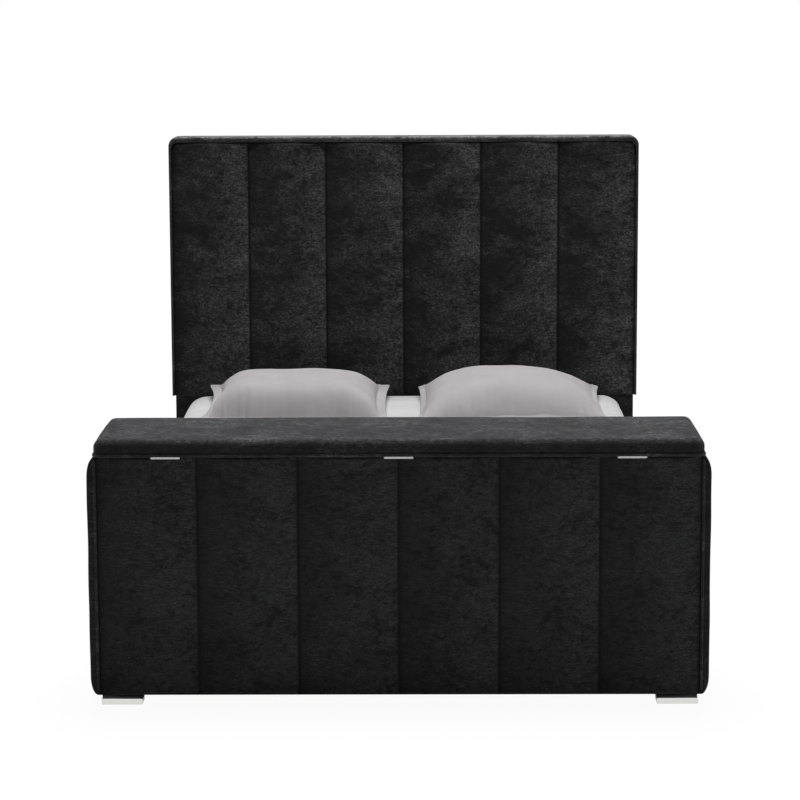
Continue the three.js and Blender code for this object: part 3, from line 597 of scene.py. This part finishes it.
def headboardBorder():
    low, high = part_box("headboard_border")
    radius = headboardSpec["cornerRadius"]
    sideWidth = headboardSpec["sideWidth"]
    front = low.y - headboardSpec["bulge"]
    outer = borderOutline(high.x, low.z, high.z, radius)
    inner = borderOutline(high.x - sideWidth, low.z, high.z - headboardSpec["topWidth"], radius - sideWidth)
    shape = bmesh.new()
    rows = [[shape.verts.new((x, y, z)) for x, z in outline]
            for outline, y in ((inner, high.y), (inner, front), (outer, front), (outer, high.y))]
    edges = [[shape.edges.new(pair) for pair in zip(row, row[1:])] for row in rows]
    for first, second in zip(edges, [*edges[1:], edges[0]]):
        bmesh.ops.bridge_loops(shape, edges=first + second)
    bmesh.ops.holes_fill(shape, edges=openEdges(shape), sides=0)
    bmesh.ops.recalc_face_normals(shape, faces=shape.faces)
    bevelEdges(shape, [e for e in edges[2] if e.is_valid], headboardSpec["edgeRadius"], 5)
    paintedLightLayer = shape.verts.layers.float.new("paintedLight")
    for vert in shape.verts:
        # Painted highlight on the border's top face
        vert[paintedLightLayer] = paintedTopLight(vert.co.z, high.z, headboardSpec)
    piece = takeShape(shape, "headboardBorder", "bed", "border", ["headboard_border"])


headboardBorder()


backSpec = {"coverInset": 0.022, "coverOut": 0.0016, "sag": 0.0012, "stapleInset": 0.028,
            "staplePitch": 0.055, "stapleOut": 0.0024, "stapleSize": (0.01, 0.001, 0.0012)}


def backCover():
    low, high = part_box("headboard_board")
    shape = bmesh.new()
    bmesh.ops.create_grid(shape, x_segments=60, y_segments=48, size=0.5)
    width = high.x - low.x - 2 * backSpec["coverInset"]
    height = high.z - low.z - 2 * backSpec["coverInset"]
    for vert in shape.verts:
        shareX, shareZ, _ = vert.co
        toEdge = 2 * min(0.5 - abs(shareX), 0.5 - abs(shareZ))
        sag = backSpec["sag"] * min(1, toEdge * 6) * noise.noise(Vector((shareX * 9, shareZ * 7, 1.7)))
        z = shareZ * height + (low.z + high.z) / 2
        vert.co = Vector((shareX * width, high.y + backSpec["coverOut"] + sag, z))
    bmesh.ops.recalc_face_normals(shape, faces=shape.faces)
    bmesh.ops.reverse_faces(shape, faces=[f for f in shape.faces if f.normal.y < 0])
    piece = takeShape(shape, "headboardBackCover", "bed", "lining", closed=False)


def backStaples():
    low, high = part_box("headboard_board")
    inset, pitch = backSpec["stapleInset"], backSpec["staplePitch"]
    left, right = low.x + inset, high.x - inset
    bottom, top = low.z + inset, high.z - inset
    places = [(x, z, False) for z in (bottom, top) for x in spread(left, right, pitch)]
    places += [(x, z, True) for x in (left, right) for z in spread(bottom, top, pitch)]
    length, thickness, width = backSpec["stapleSize"]
    shape = bmesh.new()
    for x, z, upright in places:
        size = (width, thickness, length, 1) if upright else (length, thickness, width, 1)
        place = Matrix.Translation((x, high.y + backSpec["stapleOut"], z)) @ Matrix.Diagonal(size)
        bmesh.ops.create_cube(shape, size=1, matrix=place)
    takeShape(shape, "backStaples", "bed", "steel", smooth=False)


backCover()
backStaples()
print("headboard dressed")


# Sleeping base

railSpec = {"edgeRadius": 0.0105, "columns": 60, "ripple": 0.0015}


def railPadding(side, sign):
    node = f"side_rail_pad_{side}"
    low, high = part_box(node)
    shape = blockShape(low, high)
    outer = high.x if sign > 0 else low.x
    lengthwise = [e for e in edgesOn(shape, 0, outer) if abs(e.verts[0].co.y - e.verts[1].co.y) > 0.1]
    bevelEdges(shape, lengthwise, railSpec["edgeRadius"], 6)
    cutAcross(shape, 1, low, high, railSpec["columns"])
    rippleSide(shape, outer, 0.012, railSpec["ripple"], 6, 5 + sign)
    piece = takeShape(shape, f"sideRailPadding_{side}", "bed", "velvet", [node])


for sideName, sideSign in sides:
    railPadding(sideName, sideSign)
print("rails dressed")


# Mattress with its fitted sheet

mattressSpec = {"topRadius": 0.05, "lowerRadius": 0.03, "cornerRadius": 0.075, "segments": 8,
                "lowerSegments": 8, "cuts": (100, 140, 10), "crown": 0.012, "creaseHeight": 0.0026,
                "ripple": 0.0018, "pleat": 0.005, "drape": 0.0014}


def creaseAt(x, y, seed):
    # Soft ridge lines of a sheet pulled over the mattress, 0 to 1
    bend = 0.35 * noise.noise(Vector((x * 1.9, y * 1.9, seed)))
    value = noise.noise(Vector((x * 2.3 + bend, y * 1.2 - bend, seed + 5)))
    strength = max(0, 0.4 + noise.noise(Vector((x * 1.4, y * 1.4, seed + 9))))
    return strength * max(0, 1 - abs(value) * 13) ** 2


def mattressCover():
    low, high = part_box("mattress")
    spec = mattressSpec
    shape = roundedBlock("mattress", spec)
    halfWidth = (high.x - low.x) / 2
    for vert in shape.verts:
        x, y, z = vert.co
        toSide = halfWidth - abs(x)
        toEnd = min(y - low.y, high.y - y)
        onTop = max(0, min(1, ((z - low.z) / (high.z - low.z) - 0.75) * 4))
        dome = 1 - min(1, max(0, min(toSide, toEnd)) / 0.28)
        ripple = spec["ripple"] * noise.noise(Vector((x * 3.1, y * 16, 0.4)))
        ripple += spec["creaseHeight"] * (creaseAt(x, y, 2.3) + creaseAt(y, x, 6.1))
        vert.co.z += onTop * (ripple - spec["crown"] * dome * dome)
        pleat = spec["pleat"] * noise.noise(Vector((x * 17, y * 17, z * 2)))
        pleat *= math.exp(-((toSide + toEnd) / 0.16) ** 2)  # only round the corners
        drape = spec["drape"] * noise.noise(Vector((x * 6, y * 6, z * 3)))
        if x:
            vert.co.x += math.copysign(1, x) * (pleat + drape) * (1 - onTop)
    piece = takeShape(shape, "mattressCover", "bed", "cotton", ["mattress"])


mattressCover()


# Pillows: a plump bag inside a flat flange, its cloth a little too large, settled by a cloth simulation

pillowSpec = {
    "columns": 128, "rows": 68, "flangeSteps": 6, "flangeThickness": 0.0018, "back": (2.8, 0.6),
    "belly": 0.025, "lift": 0.006, "frontFall": 0.03, "overhang": 0.01, "pucker": 0.0075,
    "earDroop": 0.014, "frames": 16, "pressure": 2.5, "excess": 0.035, "settle": 0.007, "reachPast": 0.02,
}
pillowShapes = {
    # pullIn: of the left and right end at mid-depth; lean: where the crown lies, -1 is the left end
    # back, front: power and round of the profile there; sink, seamRise: of the front seam
    "left": {
        "seed": 4.0, "crown": 0.09, "power": 5.5, "flank": 0.85, "lean": -0.12, "earRise": 0.012,
        "flange": 0.033, "pullIn": (0.1, 0.035), "front": (10.0, 0.95), "sink": 0.025, "seamRise": 0.0,
    },
    "right": {
        "seed": 11.0, "crown": 0.101, "power": 2.6, "flank": 0.8, "lean": -0.12, "earRise": 0.006,
        "flange": 0.02, "pullIn": (0.025, 0.06), "front": (5.0, 0.88), "sink": 0.013, "seamRise": 0.006,
    },
}


def gridShare(index, count):
    # Place along one side of the bag, -1 to 1 up to the seams, and how far out on the flange past them
    steps = pillowSpec["flangeSteps"]
    inner = min(max(index - steps, 0), count)
    past = max(steps - index, index - steps - count, 0)
    return math.sin(math.pi / 2 * (2 * inner / count - 1)), past / steps


def alongOf(v, form):
    power, roundness = pillowSpec["back"] if v > 0 else form["front"]
    return max(0, 1 - abs(v) ** power) ** roundness


def bulgeOf(u, v, form):
    lean = form["lean"]
    reach = (u - lean) / (1 - lean if u > lean else 1 + lean)
    across = max(0, 1 - abs(reach) ** form["power"]) ** form["flank"]
    return across * alongOf(v, form)


def pillowBag(form, size):
    # Two layers that share their rim; places keeps what each vert is, in the verts' order
    columns = pillowSpec["columns"] + 2 * pillowSpec["flangeSteps"]
    rows = pillowSpec["rows"] + 2 * pillowSpec["flangeSteps"]
    flange = form["flange"]
    half = Vector((size.x / 2 - flange, size.y / 2 - flange))
    shape = bmesh.new()
    places = []
    layers = []
    for side in (1, -1):
        layer = {}
        for column in range(columns + 1):
            for row in range(rows + 1):
                if side < 0 and (column in (0, columns) or row in (0, rows)):
                    layer[column, row] = layers[0][column, row]
                    continue
                u, pastU = gridShare(column, pillowSpec["columns"])
                v, pastV = gridShare(row, pillowSpec["rows"])
                past = max(pastU, pastV)
                pullIn = form["pullIn"][0 if u < 0 else 1]
                x = u * half.x * (1 - pullIn * (1 - v * v)) + math.copysign(pastU * flange, u)
                y = v * half.y * (1 - 0.03 * (1 - u * u)) + math.copysign(pastV * flange, v)
                wave = 1 + 0.04 * noise.noise(Vector((u * 2.6, v * 2.6, form["seed"])))
                z = form["crown"] * bulgeOf(u, v, form) * wave
                if past < 1:
                    z = max(z, pillowSpec["flangeThickness"] / 2)
                layer[column, row] = shape.verts.new((x, y, side * z))
                places.append((u, v, past, side))
        layers.append(layer)
        for column in range(columns):
            for row in range(rows):
                corners = [(column, row), (column + 1, row), (column + 1, row + 1), (column, row + 1)]
                if side < 0:
                    corners.reverse()
                shape.faces.new([layer[corner] for corner in corners])
    return shape, places


def settle(shape, places, name):
    # The simulation only moves the bag inside the seams, most in its middle
    mesh = meshOf(shape, name)
    before = [vert.co.copy() for vert in mesh.vertices]
    bag = addObject(name, mesh)
    cloth = bag.modifiers.new("cloth", "CLOTH")
    settings = cloth.settings
    settings.quality = 6
    settings.mass = 0.25
    settings.tension_stiffness = settings.compression_stiffness = 20
    settings.shear_stiffness = 8
    settings.bending_stiffness = 0.3
    settings.shrink_min = -pillowSpec["excess"]
    settings.use_pressure = True
    settings.uniform_pressure_force = pillowSpec["pressure"]
    settings.effector_weights.gravity = 0
    cloth.point_cache.frame_start, cloth.point_cache.frame_end = 1, pillowSpec["frames"]
    for number in range(1, pillowSpec["frames"] + 1):
        scene.frame_set(number)
    evaluated = bag.evaluated_get(bpy.context.evaluated_depsgraph_get())
    after = [vert.co.copy() for vert in evaluated.to_mesh().vertices]
    evaluated.to_mesh_clear()
    bpy.data.objects.remove(bag)
    bpy.data.meshes.remove(mesh)
    scene.frame_set(1)
    moves = [late - early for early, late in zip(before, after)]
    shape.verts.ensure_lookup_table()
    for vert, move, (u, v, past, _) in zip(shape.verts, moves, places):
        inside = 0 if past else min(1, 4 * (1 - abs(u)), 4 * (1 - abs(v)))
        vert.co += move * inside * min(1, pillowSpec["settle"] / max(move.length, 1e-6))


def layDown(vert, u, v, past, side, form):
    # Flat belly on the mattress, ears up at the back, front flange down on the sheet, puckers at the seams
    x, y, z = vert.co
    toSeam = min(1 - abs(u), 1 - abs(v))
    alongFront = 1 - abs(v) < 1 - abs(u)
    pucker = noise.noise(Vector(((x if alongFront else y) * 75, toSeam * 3, form["seed"] + side)))
    pucker *= pillowSpec["pucker"] * math.exp(-toSeam / 0.1)
    pucker *= 0.25 + max(0, noise.noise(Vector((x * 7, y * 7, form["seed"]))) + 0.25)
    front = max(0, -v) ** 6
    if side > 0:
        y -= pucker * front
        z += pucker * (1 - 0.5 * front) * (1 if alongFront else 0.4)
    if side > 0 and not past:
        halfUp = math.exp(-((z / form["crown"] - 0.45) / 0.3) ** 2)
        x += math.copysign(pillowSpec["overhang"], u) * halfUp * abs(u) ** 6
    limp = 0.25 + noise.noise(Vector((x * 15, 2.6, form["seed"])))
    z += pillowSpec["lift"] * v + form["seamRise"] * front * limp
    if v < 0:
        z -= form["sink"] * (1 - alongOf(v, form))
    wave = 0.004 * noise.noise(Vector((x * 9, y * 9, form["seed"])))
    back = (0.5 + 0.5 * v) ** 2
    z += past * (form["earRise"] * back - pillowSpec["frontFall"] * (0.5 - 0.5 * v) ** 2 + wave)
    z -= past * pillowSpec["earDroop"] * back * abs(u) ** 8
    ground = 0.0012 * (1 + side) - pillowSpec["belly"]
    vert.co = Vector((x, y, z if z > ground else ground + 0.03 * (z - ground)))


def pillow(side):
    low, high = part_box(f"pillow_{side}")
    size = high - low
    size.y += pillowSpec["reachPast"]
    form = pillowShapes[side]
    shape, places = pillowBag(form, size)
    settle(shape, places, f"pillowBag_{side}")
    shape.verts.ensure_lookup_table()
    crown = max(vert.co.z for vert in shape.verts)
    for vert, (u, v, past, layerSide) in zip(shape.verts, places):
        if not past:
            vert.co.z *= form["crown"] / crown
        layDown(vert, u, v, past, layerSide, form)
    lowest = min(vert.co.z for vert in shape.verts)
    centre = (low + high) / 2
    place = (centre.x, centre.y - pillowSpec["reachPast"] / 2, low.z - lowest + 0.001)
    bmesh.ops.translate(shape, verts=shape.verts, vec=place)
    piece = takeShape(shape, f"pillow_{side}_case", "bed", "sateen", [f"pillow_{side}"])
    addSubdivision(piece)


for sideName, _ in sides:
    pillow(sideName)
print("bedding made")


# Metal parts

footSpec = {"edge": 0.003, "neckHeight": 0.009, "neckInset": 0.0025, "neckSunk": 0.002, "neckEdge": 0.002}


def chromeFoot(end, side):
    # A chrome block under a slightly smaller neck; the neck's black plastic is a painted shade for the
    # shadowed gap under the box and the dark that the chrome mirrors there
    node = f"tv_box_foot_{end}_{side}"
    spec = footSpec
    low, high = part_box(node)
    shape = blockShape(low, Vector((high.x, high.y, high.z - spec["neckHeight"])))
    bevelEdges(shape, shape.edges, spec["edge"], 3)
    inset = Vector((spec["neckInset"], spec["neckInset"], 0))
    neck = blockShape(low + inset + Vector((0, 0, spec["neckSunk"])), high - inset)
    bevelEdges(neck, uprightEdges(neck), spec["neckEdge"], 3)
    addWeightedNormals(takeShape(shape, f"chromeFoot_{end}_{side}", "bed", "chrome", [node]))
    addWeightedNormals(takeShape(neck, f"footNeckPaintedShade_{end}_{side}", "bed", "blackPlastic"))


for endName in ("front", "back"):
    for sideName, _ in sides:
        chromeFoot(endName, sideName)


def addRod(shape, middle, axis, radius, depth, segments):
    place = Matrix.Translation(middle) @ axis.to_track_quat("Z", "Y").to_matrix().to_4x4()
    made = bmesh.ops.create_cone(shape, cap_ends=True, segments=segments, radius1=radius, radius2=radius,
                                 depth=depth, matrix=place)
    return made["verts"]


def boltShape(shape, place, axis, across, height, washer=0.0):
    # Six-sided head standing on place along axis, on a washer if it has one
    parts = [(across / math.sqrt(3), washer, height, 6)]
    if washer:
        parts.append((across * 0.68, 0.0, washer, 24))
    for radius, start, depth, segments in parts:
        verts = addRod(shape, place + axis * (start + depth / 2), axis, radius, depth, segments)
        rim = [e for e in {e for v in verts for e in v.link_edges}
               if abs((e.verts[0].co - e.verts[1].co).normalized().dot(axis)) < 0.5]
        bevelEdges(shape, rim, 0.08 * depth, 2)


def screwShape(shape, place, axis, radius, depth):
    # Countersunk head that fills its hole, its socket sunk in
    verts = addRod(shape, place - axis * depth / 2, axis, radius, depth, 24)
    faces = {f for v in verts for f in v.link_faces}
    top = max(faces, key=lambda face: face.calc_center_median().dot(axis))
    bmesh.ops.inset_region(shape, faces=[top], thickness=radius * 0.45)
    sunk = vertsOf(bmesh.ops.extrude_face_region(shape, geom=[top]))
    bmesh.ops.delete(shape, geom=[top], context="FACES")
    bmesh.ops.translate(shape, verts=sunk, vec=-axis * depth * 0.5)


up = Vector((0, 0, 1))
towardsFoot = Vector((0, -1, 0))


hingeScrewSpec = {"holes": (-0.024, 0.0, 0.024), "reach": 0.029, "sink": 0.00045, "radius": 0.0022,
                  "depth": 0.0017}


def hingeScrews():
    spec = hingeScrewSpec
    for number in (1, 2, 3):
        low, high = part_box(f"hinge_{number}_pin")
        axisX, axisY, axisZ = (low + high) / 2
        for body, side in (("bed", 1), ("lid", -1)):
            shape = bmesh.new()
            for offset in spec["holes"]:
                place = Vector((axisX + offset, axisY + spec["reach"], axisZ - side * spec["sink"]))
                screwShape(shape, place, side * up, spec["radius"], spec["depth"])
            takeShape(shape, f"hingeScrews_{number}_{body}", body, "chrome", smooth=False)


boltSpec = {"across": 0.013, "height": 0.0053, "washer": 0.0015, "fromEdge": 0.016, "armRises": (0.0, 0.1),
            "armFace": 0.0043, "nutAcross": 0.017, "nutHeight": 0.0075, "nutSunk": 0.0067}


def liftBolts():
    bolt = [boltSpec[key] for key in ("across", "height", "washer")]
    fromEdge = boltSpec["fromEdge"]
    low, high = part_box("lift_base_plate")
    shape = bmesh.new()
    for x in (low.x + fromEdge, high.x - fromEdge):
        for y in (low.y + fromEdge, high.y - fromEdge):
            boltShape(shape, Vector((x, y, high.z)), up, *bolt)
    takeShape(shape, "liftBaseBolts", "bed", "steel", smooth=False)
    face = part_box("tv_arm_left")[0].y - boltSpec["armFace"]
    shape = bmesh.new()
    for side, _ in sides:
        armLow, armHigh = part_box(f"tv_arm_{side}")
        middle = (armLow + armHigh) / 2
        for rise in boltSpec["armRises"]:
            boltShape(shape, Vector((middle.x, face, middle.z + rise)), towardsFoot, *bolt)
    takeShape(shape, "armBolts", "lift_inner", "steel", smooth=False)
    low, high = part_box("lift_actuator_rod")
    middle = (low + high) / 2
    shape = bmesh.new()
    foot = Vector((middle.x, middle.y, high.z - boltSpec["nutSunk"]))
    boltShape(shape, foot, up, boltSpec["nutAcross"], boltSpec["nutHeight"])
    takeShape(shape, "rodNut", "lift_middle", "steel", smooth=False)


capSpec = {"past": 0.002, "wall": 0.0052, "thickness": 0.003, "gap": 0.0002, "radii": (0.011, 0.0078)}


def columnCap():
    # A frame of plastic on the end of the outer column
    low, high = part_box("lift_outer_column")
    middle = (low + high) / 2
    bottom = high.z + capSpec["gap"]
    outerHalf = Vector(((high.x - low.x) / 2 + capSpec["past"], (high.y - low.y) / 2 + capSpec["past"]))
    innerHalf = outerHalf - Vector((capSpec["wall"], capSpec["wall"]))
    shape = bmesh.new()
    rows = []
    for half, radius in zip((outerHalf, innerHalf), capSpec["radii"]):
        points = []
        for corner, (signX, signY) in enumerate(((1, 1), (-1, 1), (-1, -1), (1, -1))):
            centre = (middle.x + signX * (half.x - radius), middle.y + signY * (half.y - radius))
            points += quarterArc(centre, radius, corner * math.pi / 2, 1, 6)
        for z in (bottom, bottom + capSpec["thickness"]):
            rows.append([shape.verts.new((x, y, z)) for x, y in points])
    for first, second in ((0, 1), (1, 3), (3, 2), (2, 0)):
        pairs = list(zip(rows[first], rows[second]))
        for (low1, high1), (low2, high2) in zip(pairs, pairs[1:] + pairs[:1]):
            shape.faces.new((low1, low2, high2, high1))
    takeShape(shape, "columnCap", "bed", "blackPlastic", smooth=False)


actuatorSpec = {
    # wiper: distance from the tube's axis and height over its end; screws: offsets from the axis
    "wiper": [(0.0095, 0.002), (0.018, 0.002), (0.019, 0.001), (0.019, -0.016), (0.0162, -0.016)],
    "screwAcross": 0.024, "screwAlong": 0.026, "screwRise": 0.1128, "screwRadius": 0.003,
    "screwDepth": 0.0012,
}


def actuatorTrim():
    spec = actuatorSpec
    low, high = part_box("lift_actuator")
    middle = (low + high) / 2
    shape = bmesh.new()
    verts = [shape.verts.new((middle.x + out, middle.y, high.z + rise)) for out, rise in spec["wiper"]]
    edges = [shape.edges.new(pair) for pair in zip(verts, verts[1:])]
    bmesh.ops.spin(shape, geom=verts + edges, cent=(middle.x, middle.y, 0), axis=up, angle=2 * math.pi,
                   steps=40, use_merge=True)
    takeShape(shape, "actuatorWiper", "bed", "blackPlastic")
    shape = bmesh.new()
    for signX in (-1, 1):
        for signY in (-1, 1):
            offset = Vector((signX * spec["screwAcross"], signY * spec["screwAlong"], 0))
            place = Vector((middle.x, middle.y, low.z + spec["screwRise"])) + offset
            screwShape(shape, place, up, spec["screwRadius"], spec["screwDepth"])
    takeShape(shape, "motorScrews", "bed", "chrome", smooth=False)


ribSpec = {"count": 7, "start": 0.03, "pitch": 0.012, "width": 0.005, "inset": 0.02, "sunk": 0.0004,
           "height": 0.0012, "edge": 0.0005}


def controlRibs():
    spec = ribSpec
    low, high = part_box("lift_control_unit")
    shape = bmesh.new()
    for index in range(spec["count"]):
        x = low.x + spec["start"] + spec["pitch"] * index
        ribLow = Vector((x, low.y + spec["inset"], high.z - spec["sunk"]))
        ribHigh = Vector((x + spec["width"], high.y - spec["inset"], high.z + spec["height"]))
        place = Matrix.Translation((ribLow + ribHigh) / 2) @ Matrix.Diagonal((*(ribHigh - ribLow), 1))
        bmesh.ops.create_cube(shape, size=1, matrix=place)
    bevelEdges(shape, shape.edges, spec["edge"], 2)
    takeShape(shape, "controlRibs", "bed", "blackPlastic", smooth=False)


hingeScrews()
liftBolts()
columnCap()
actuatorTrim()
controlRibs()
print("fixings made")


# Materials of the nodes that keep their shape

nodeFinish = {
    "velvet": ["side_rail_left", "side_rail_right"],
    # Painted light: the lid's board and the headboard's board take brighter copies of the velvet, against
    # the shade under the lid's padding and behind the headboard's padding
    "velvetTop": ["lid_board"],
    "velvetSide": ["headboard_board"],
    "plywood": ["tv_box_front_board", "tv_box_floor_board", "tv_box_side_board_left",
                "tv_box_side_board_right"],
    "pineX": [f"slat_{number}" for number in range(1, 11)],
    "pineY": ["centre_rail", "slat_ledge_left", "slat_ledge_right"],
    "hingeSteel": [f"hinge_{number}_{part}" for number in (1, 2, 3)
                   for part in ("box_leaf", "lid_leaf", "pin")],
    "blackSteel": ["lift_base_plate", "lift_outer_column", "lift_head_bracket", "tv_arm_left",
                   "tv_arm_right"],
    "silverSteel": ["lift_middle_column", "lift_inner_column", "lift_actuator_rod"],
    "blackPlastic": ["lift_actuator", "lift_control_unit", "centre_leg_1", "centre_leg_2",
                     "headboard_glide_left", "headboard_glide_right"],
}
for finishName, nodeNames in nodeFinish.items():
    for nodeName in nodeNames:
        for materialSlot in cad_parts[nodeName].material_slots:
            materialSlot.material = finish[finishName]
print("other nodes dressed")


# Floor, light and camera

stageSpec = {"bedEdges": (("X", 0.8), ("Y", 1.24)), "reachUnder": 0.1, "shadowShare": 0.1,
             "shadowFrom": 2.2, "shadowTo": 5.0, "floorSize": 60}


def backgroundShare(owner, mirrored):
    # 1 for rays that see the background: straight, through glass, and by this share in a mirror
    path = addNode(owner, "LightPath").outputs
    straight = mathValue(owner, "MAXIMUM", path["Is Camera Ray"], path["Is Transmission Ray"])
    glossy = mathValue(owner, "MULTIPLY", path["Is Glossy Ray"], mirrored)
    return mathValue(owner, "MAXIMUM", straight, glossy)


def rangeValue(owner, value, start, end, low=0.0, high=1.0):
    node = addNode(owner, "MapRange", {
        "Value": value, "From Min": start, "From Max": end, "To Min": low, "To Max": high})
    return node.outputs["Result"]


def mixInto(output, owner, share, first, second):
    mix = addNode(owner, "MixShader", {0: share, 1: first.outputs[0], 2: second.outputs[0]})
    feed(owner, output.inputs["Surface"], mix.outputs[0])


def makeFloor():
    # White to whoever looks at it, with a little of the real floor and its shadow near the bed
    spec = stageSpec
    material = blankMaterial("paleFloor")
    shader = shaderOf(material, Roughness=0.9, Specular_IOR_Level=0.0, Base_Color=(0.86, 0.86, 0.86, 1))
    white = addNode(material, "Emission", {"Color": (1, 1, 1, 1), "Strength": 1.05})
    coords = addNode(material, "TexCoord").outputs["Object"]
    place = addNode(material, "SeparateXYZ", {0: coords})
    outside = []
    for axis, edge in spec["bedEdges"]:
        away = mathValue(material, "ABSOLUTE", place.outputs[axis])
        outside.append(rangeValue(material, away, edge - spec["reachUnder"], edge))
    seen = backgroundShare(material, mathValue(material, "MAXIMUM", *outside))
    reach = addNode(material, "VectorMath", {0: coords}, operation="LENGTH")
    far = rangeValue(material, reach.outputs["Value"], spec["shadowFrom"], spec["shadowTo"],
                     1 - spec["shadowShare"], 1.0)
    output = material.node_tree.nodes["Material Output"]
    mixInto(output, material, mathValue(material, "MULTIPLY", seen, far), shader, white)
    shape = bmesh.new()
    bmesh.ops.create_grid(shape, x_segments=1, y_segments=1, size=spec["floorSize"])
    floor = addObject("floor", meshOf(shape, "floor"))
    shape.free()
    floor.data.materials.append(material)


def makeWorld():
    world = bpy.data.worlds.new("studio")
    world.use_nodes = True
    world.node_tree.nodes.clear()
    output = addNode(world, "OutputWorld")
    white = {"Color": (1, 1, 1, 1)}
    light = addNode(world, "Background", {**white, "Strength": lightSpec["ambient"]})
    seen = addNode(world, "Background", white)
    mixInto(output, world, backgroundShare(world, 1.0), light, seen)
    scene.world = world


lightSpec = {
    "ambient": 0.035,
    "lamps": [
        # name, place, aimed at, size, power
        ("overheadPanel", (0.0, 0.7, 5.6), (0, 0.6, 0.5), 3.6, 310),
        ("rightStrip", (5.6, -0.7, 1.8), (0, 0.3, 0.7), 1.6, 44),
        ("frontRight", (4.8, -5.0, 2.2), (0, -0.8, 0.6), 1.8, 17),
        ("leftStrip", (-5.6, 0.2, 1.6), (0, 0.2, 0.7), 1.6, 36),
        ("frontLeft", (-4.0, -6.0, 2.0), (0, 0, 0.6), 2.6, 5),
    ],
}


def makeLamps():
    for name, place, target, size, power in lightSpec["lamps"]:
        lamp = bpy.data.lights.new(name, "AREA")
        lamp.shape = "SQUARE"
        lamp.size = size
        lamp.energy = power
        light = addObject(name, lamp)
        light.location = place
        light.rotation_euler = (Vector(target) - Vector(place)).to_track_quat("-Z", "Y").to_euler()


cameraSpec = {"place": (0.0568, -7.9749, 1.8546), "yaw": -0.449, "pitch": 8.899, "roll": -0.212,
              "lens": 120.72}


def makeCamera():
    lens = bpy.data.cameras.new("camera")
    lens.sensor_width = 36
    lens.lens = cameraSpec["lens"]
    lens.clip_end = 200
    camera = addObject("camera", lens)
    turn = (Matrix.Rotation(math.radians(-cameraSpec["yaw"]), 4, "Z")
            @ Matrix.Rotation(math.radians(90 - cameraSpec["pitch"]), 4, "X")
            @ Matrix.Rotation(math.radians(cameraSpec["roll"]), 4, "Z"))
    camera.matrix_world = Matrix.Translation(cameraSpec["place"]) @ turn
    scene.camera = camera


makeFloor()
makeWorld()
makeLamps()
makeCamera()
scene.view_settings.view_transform = "Standard"
print("stage, lamps and camera made")
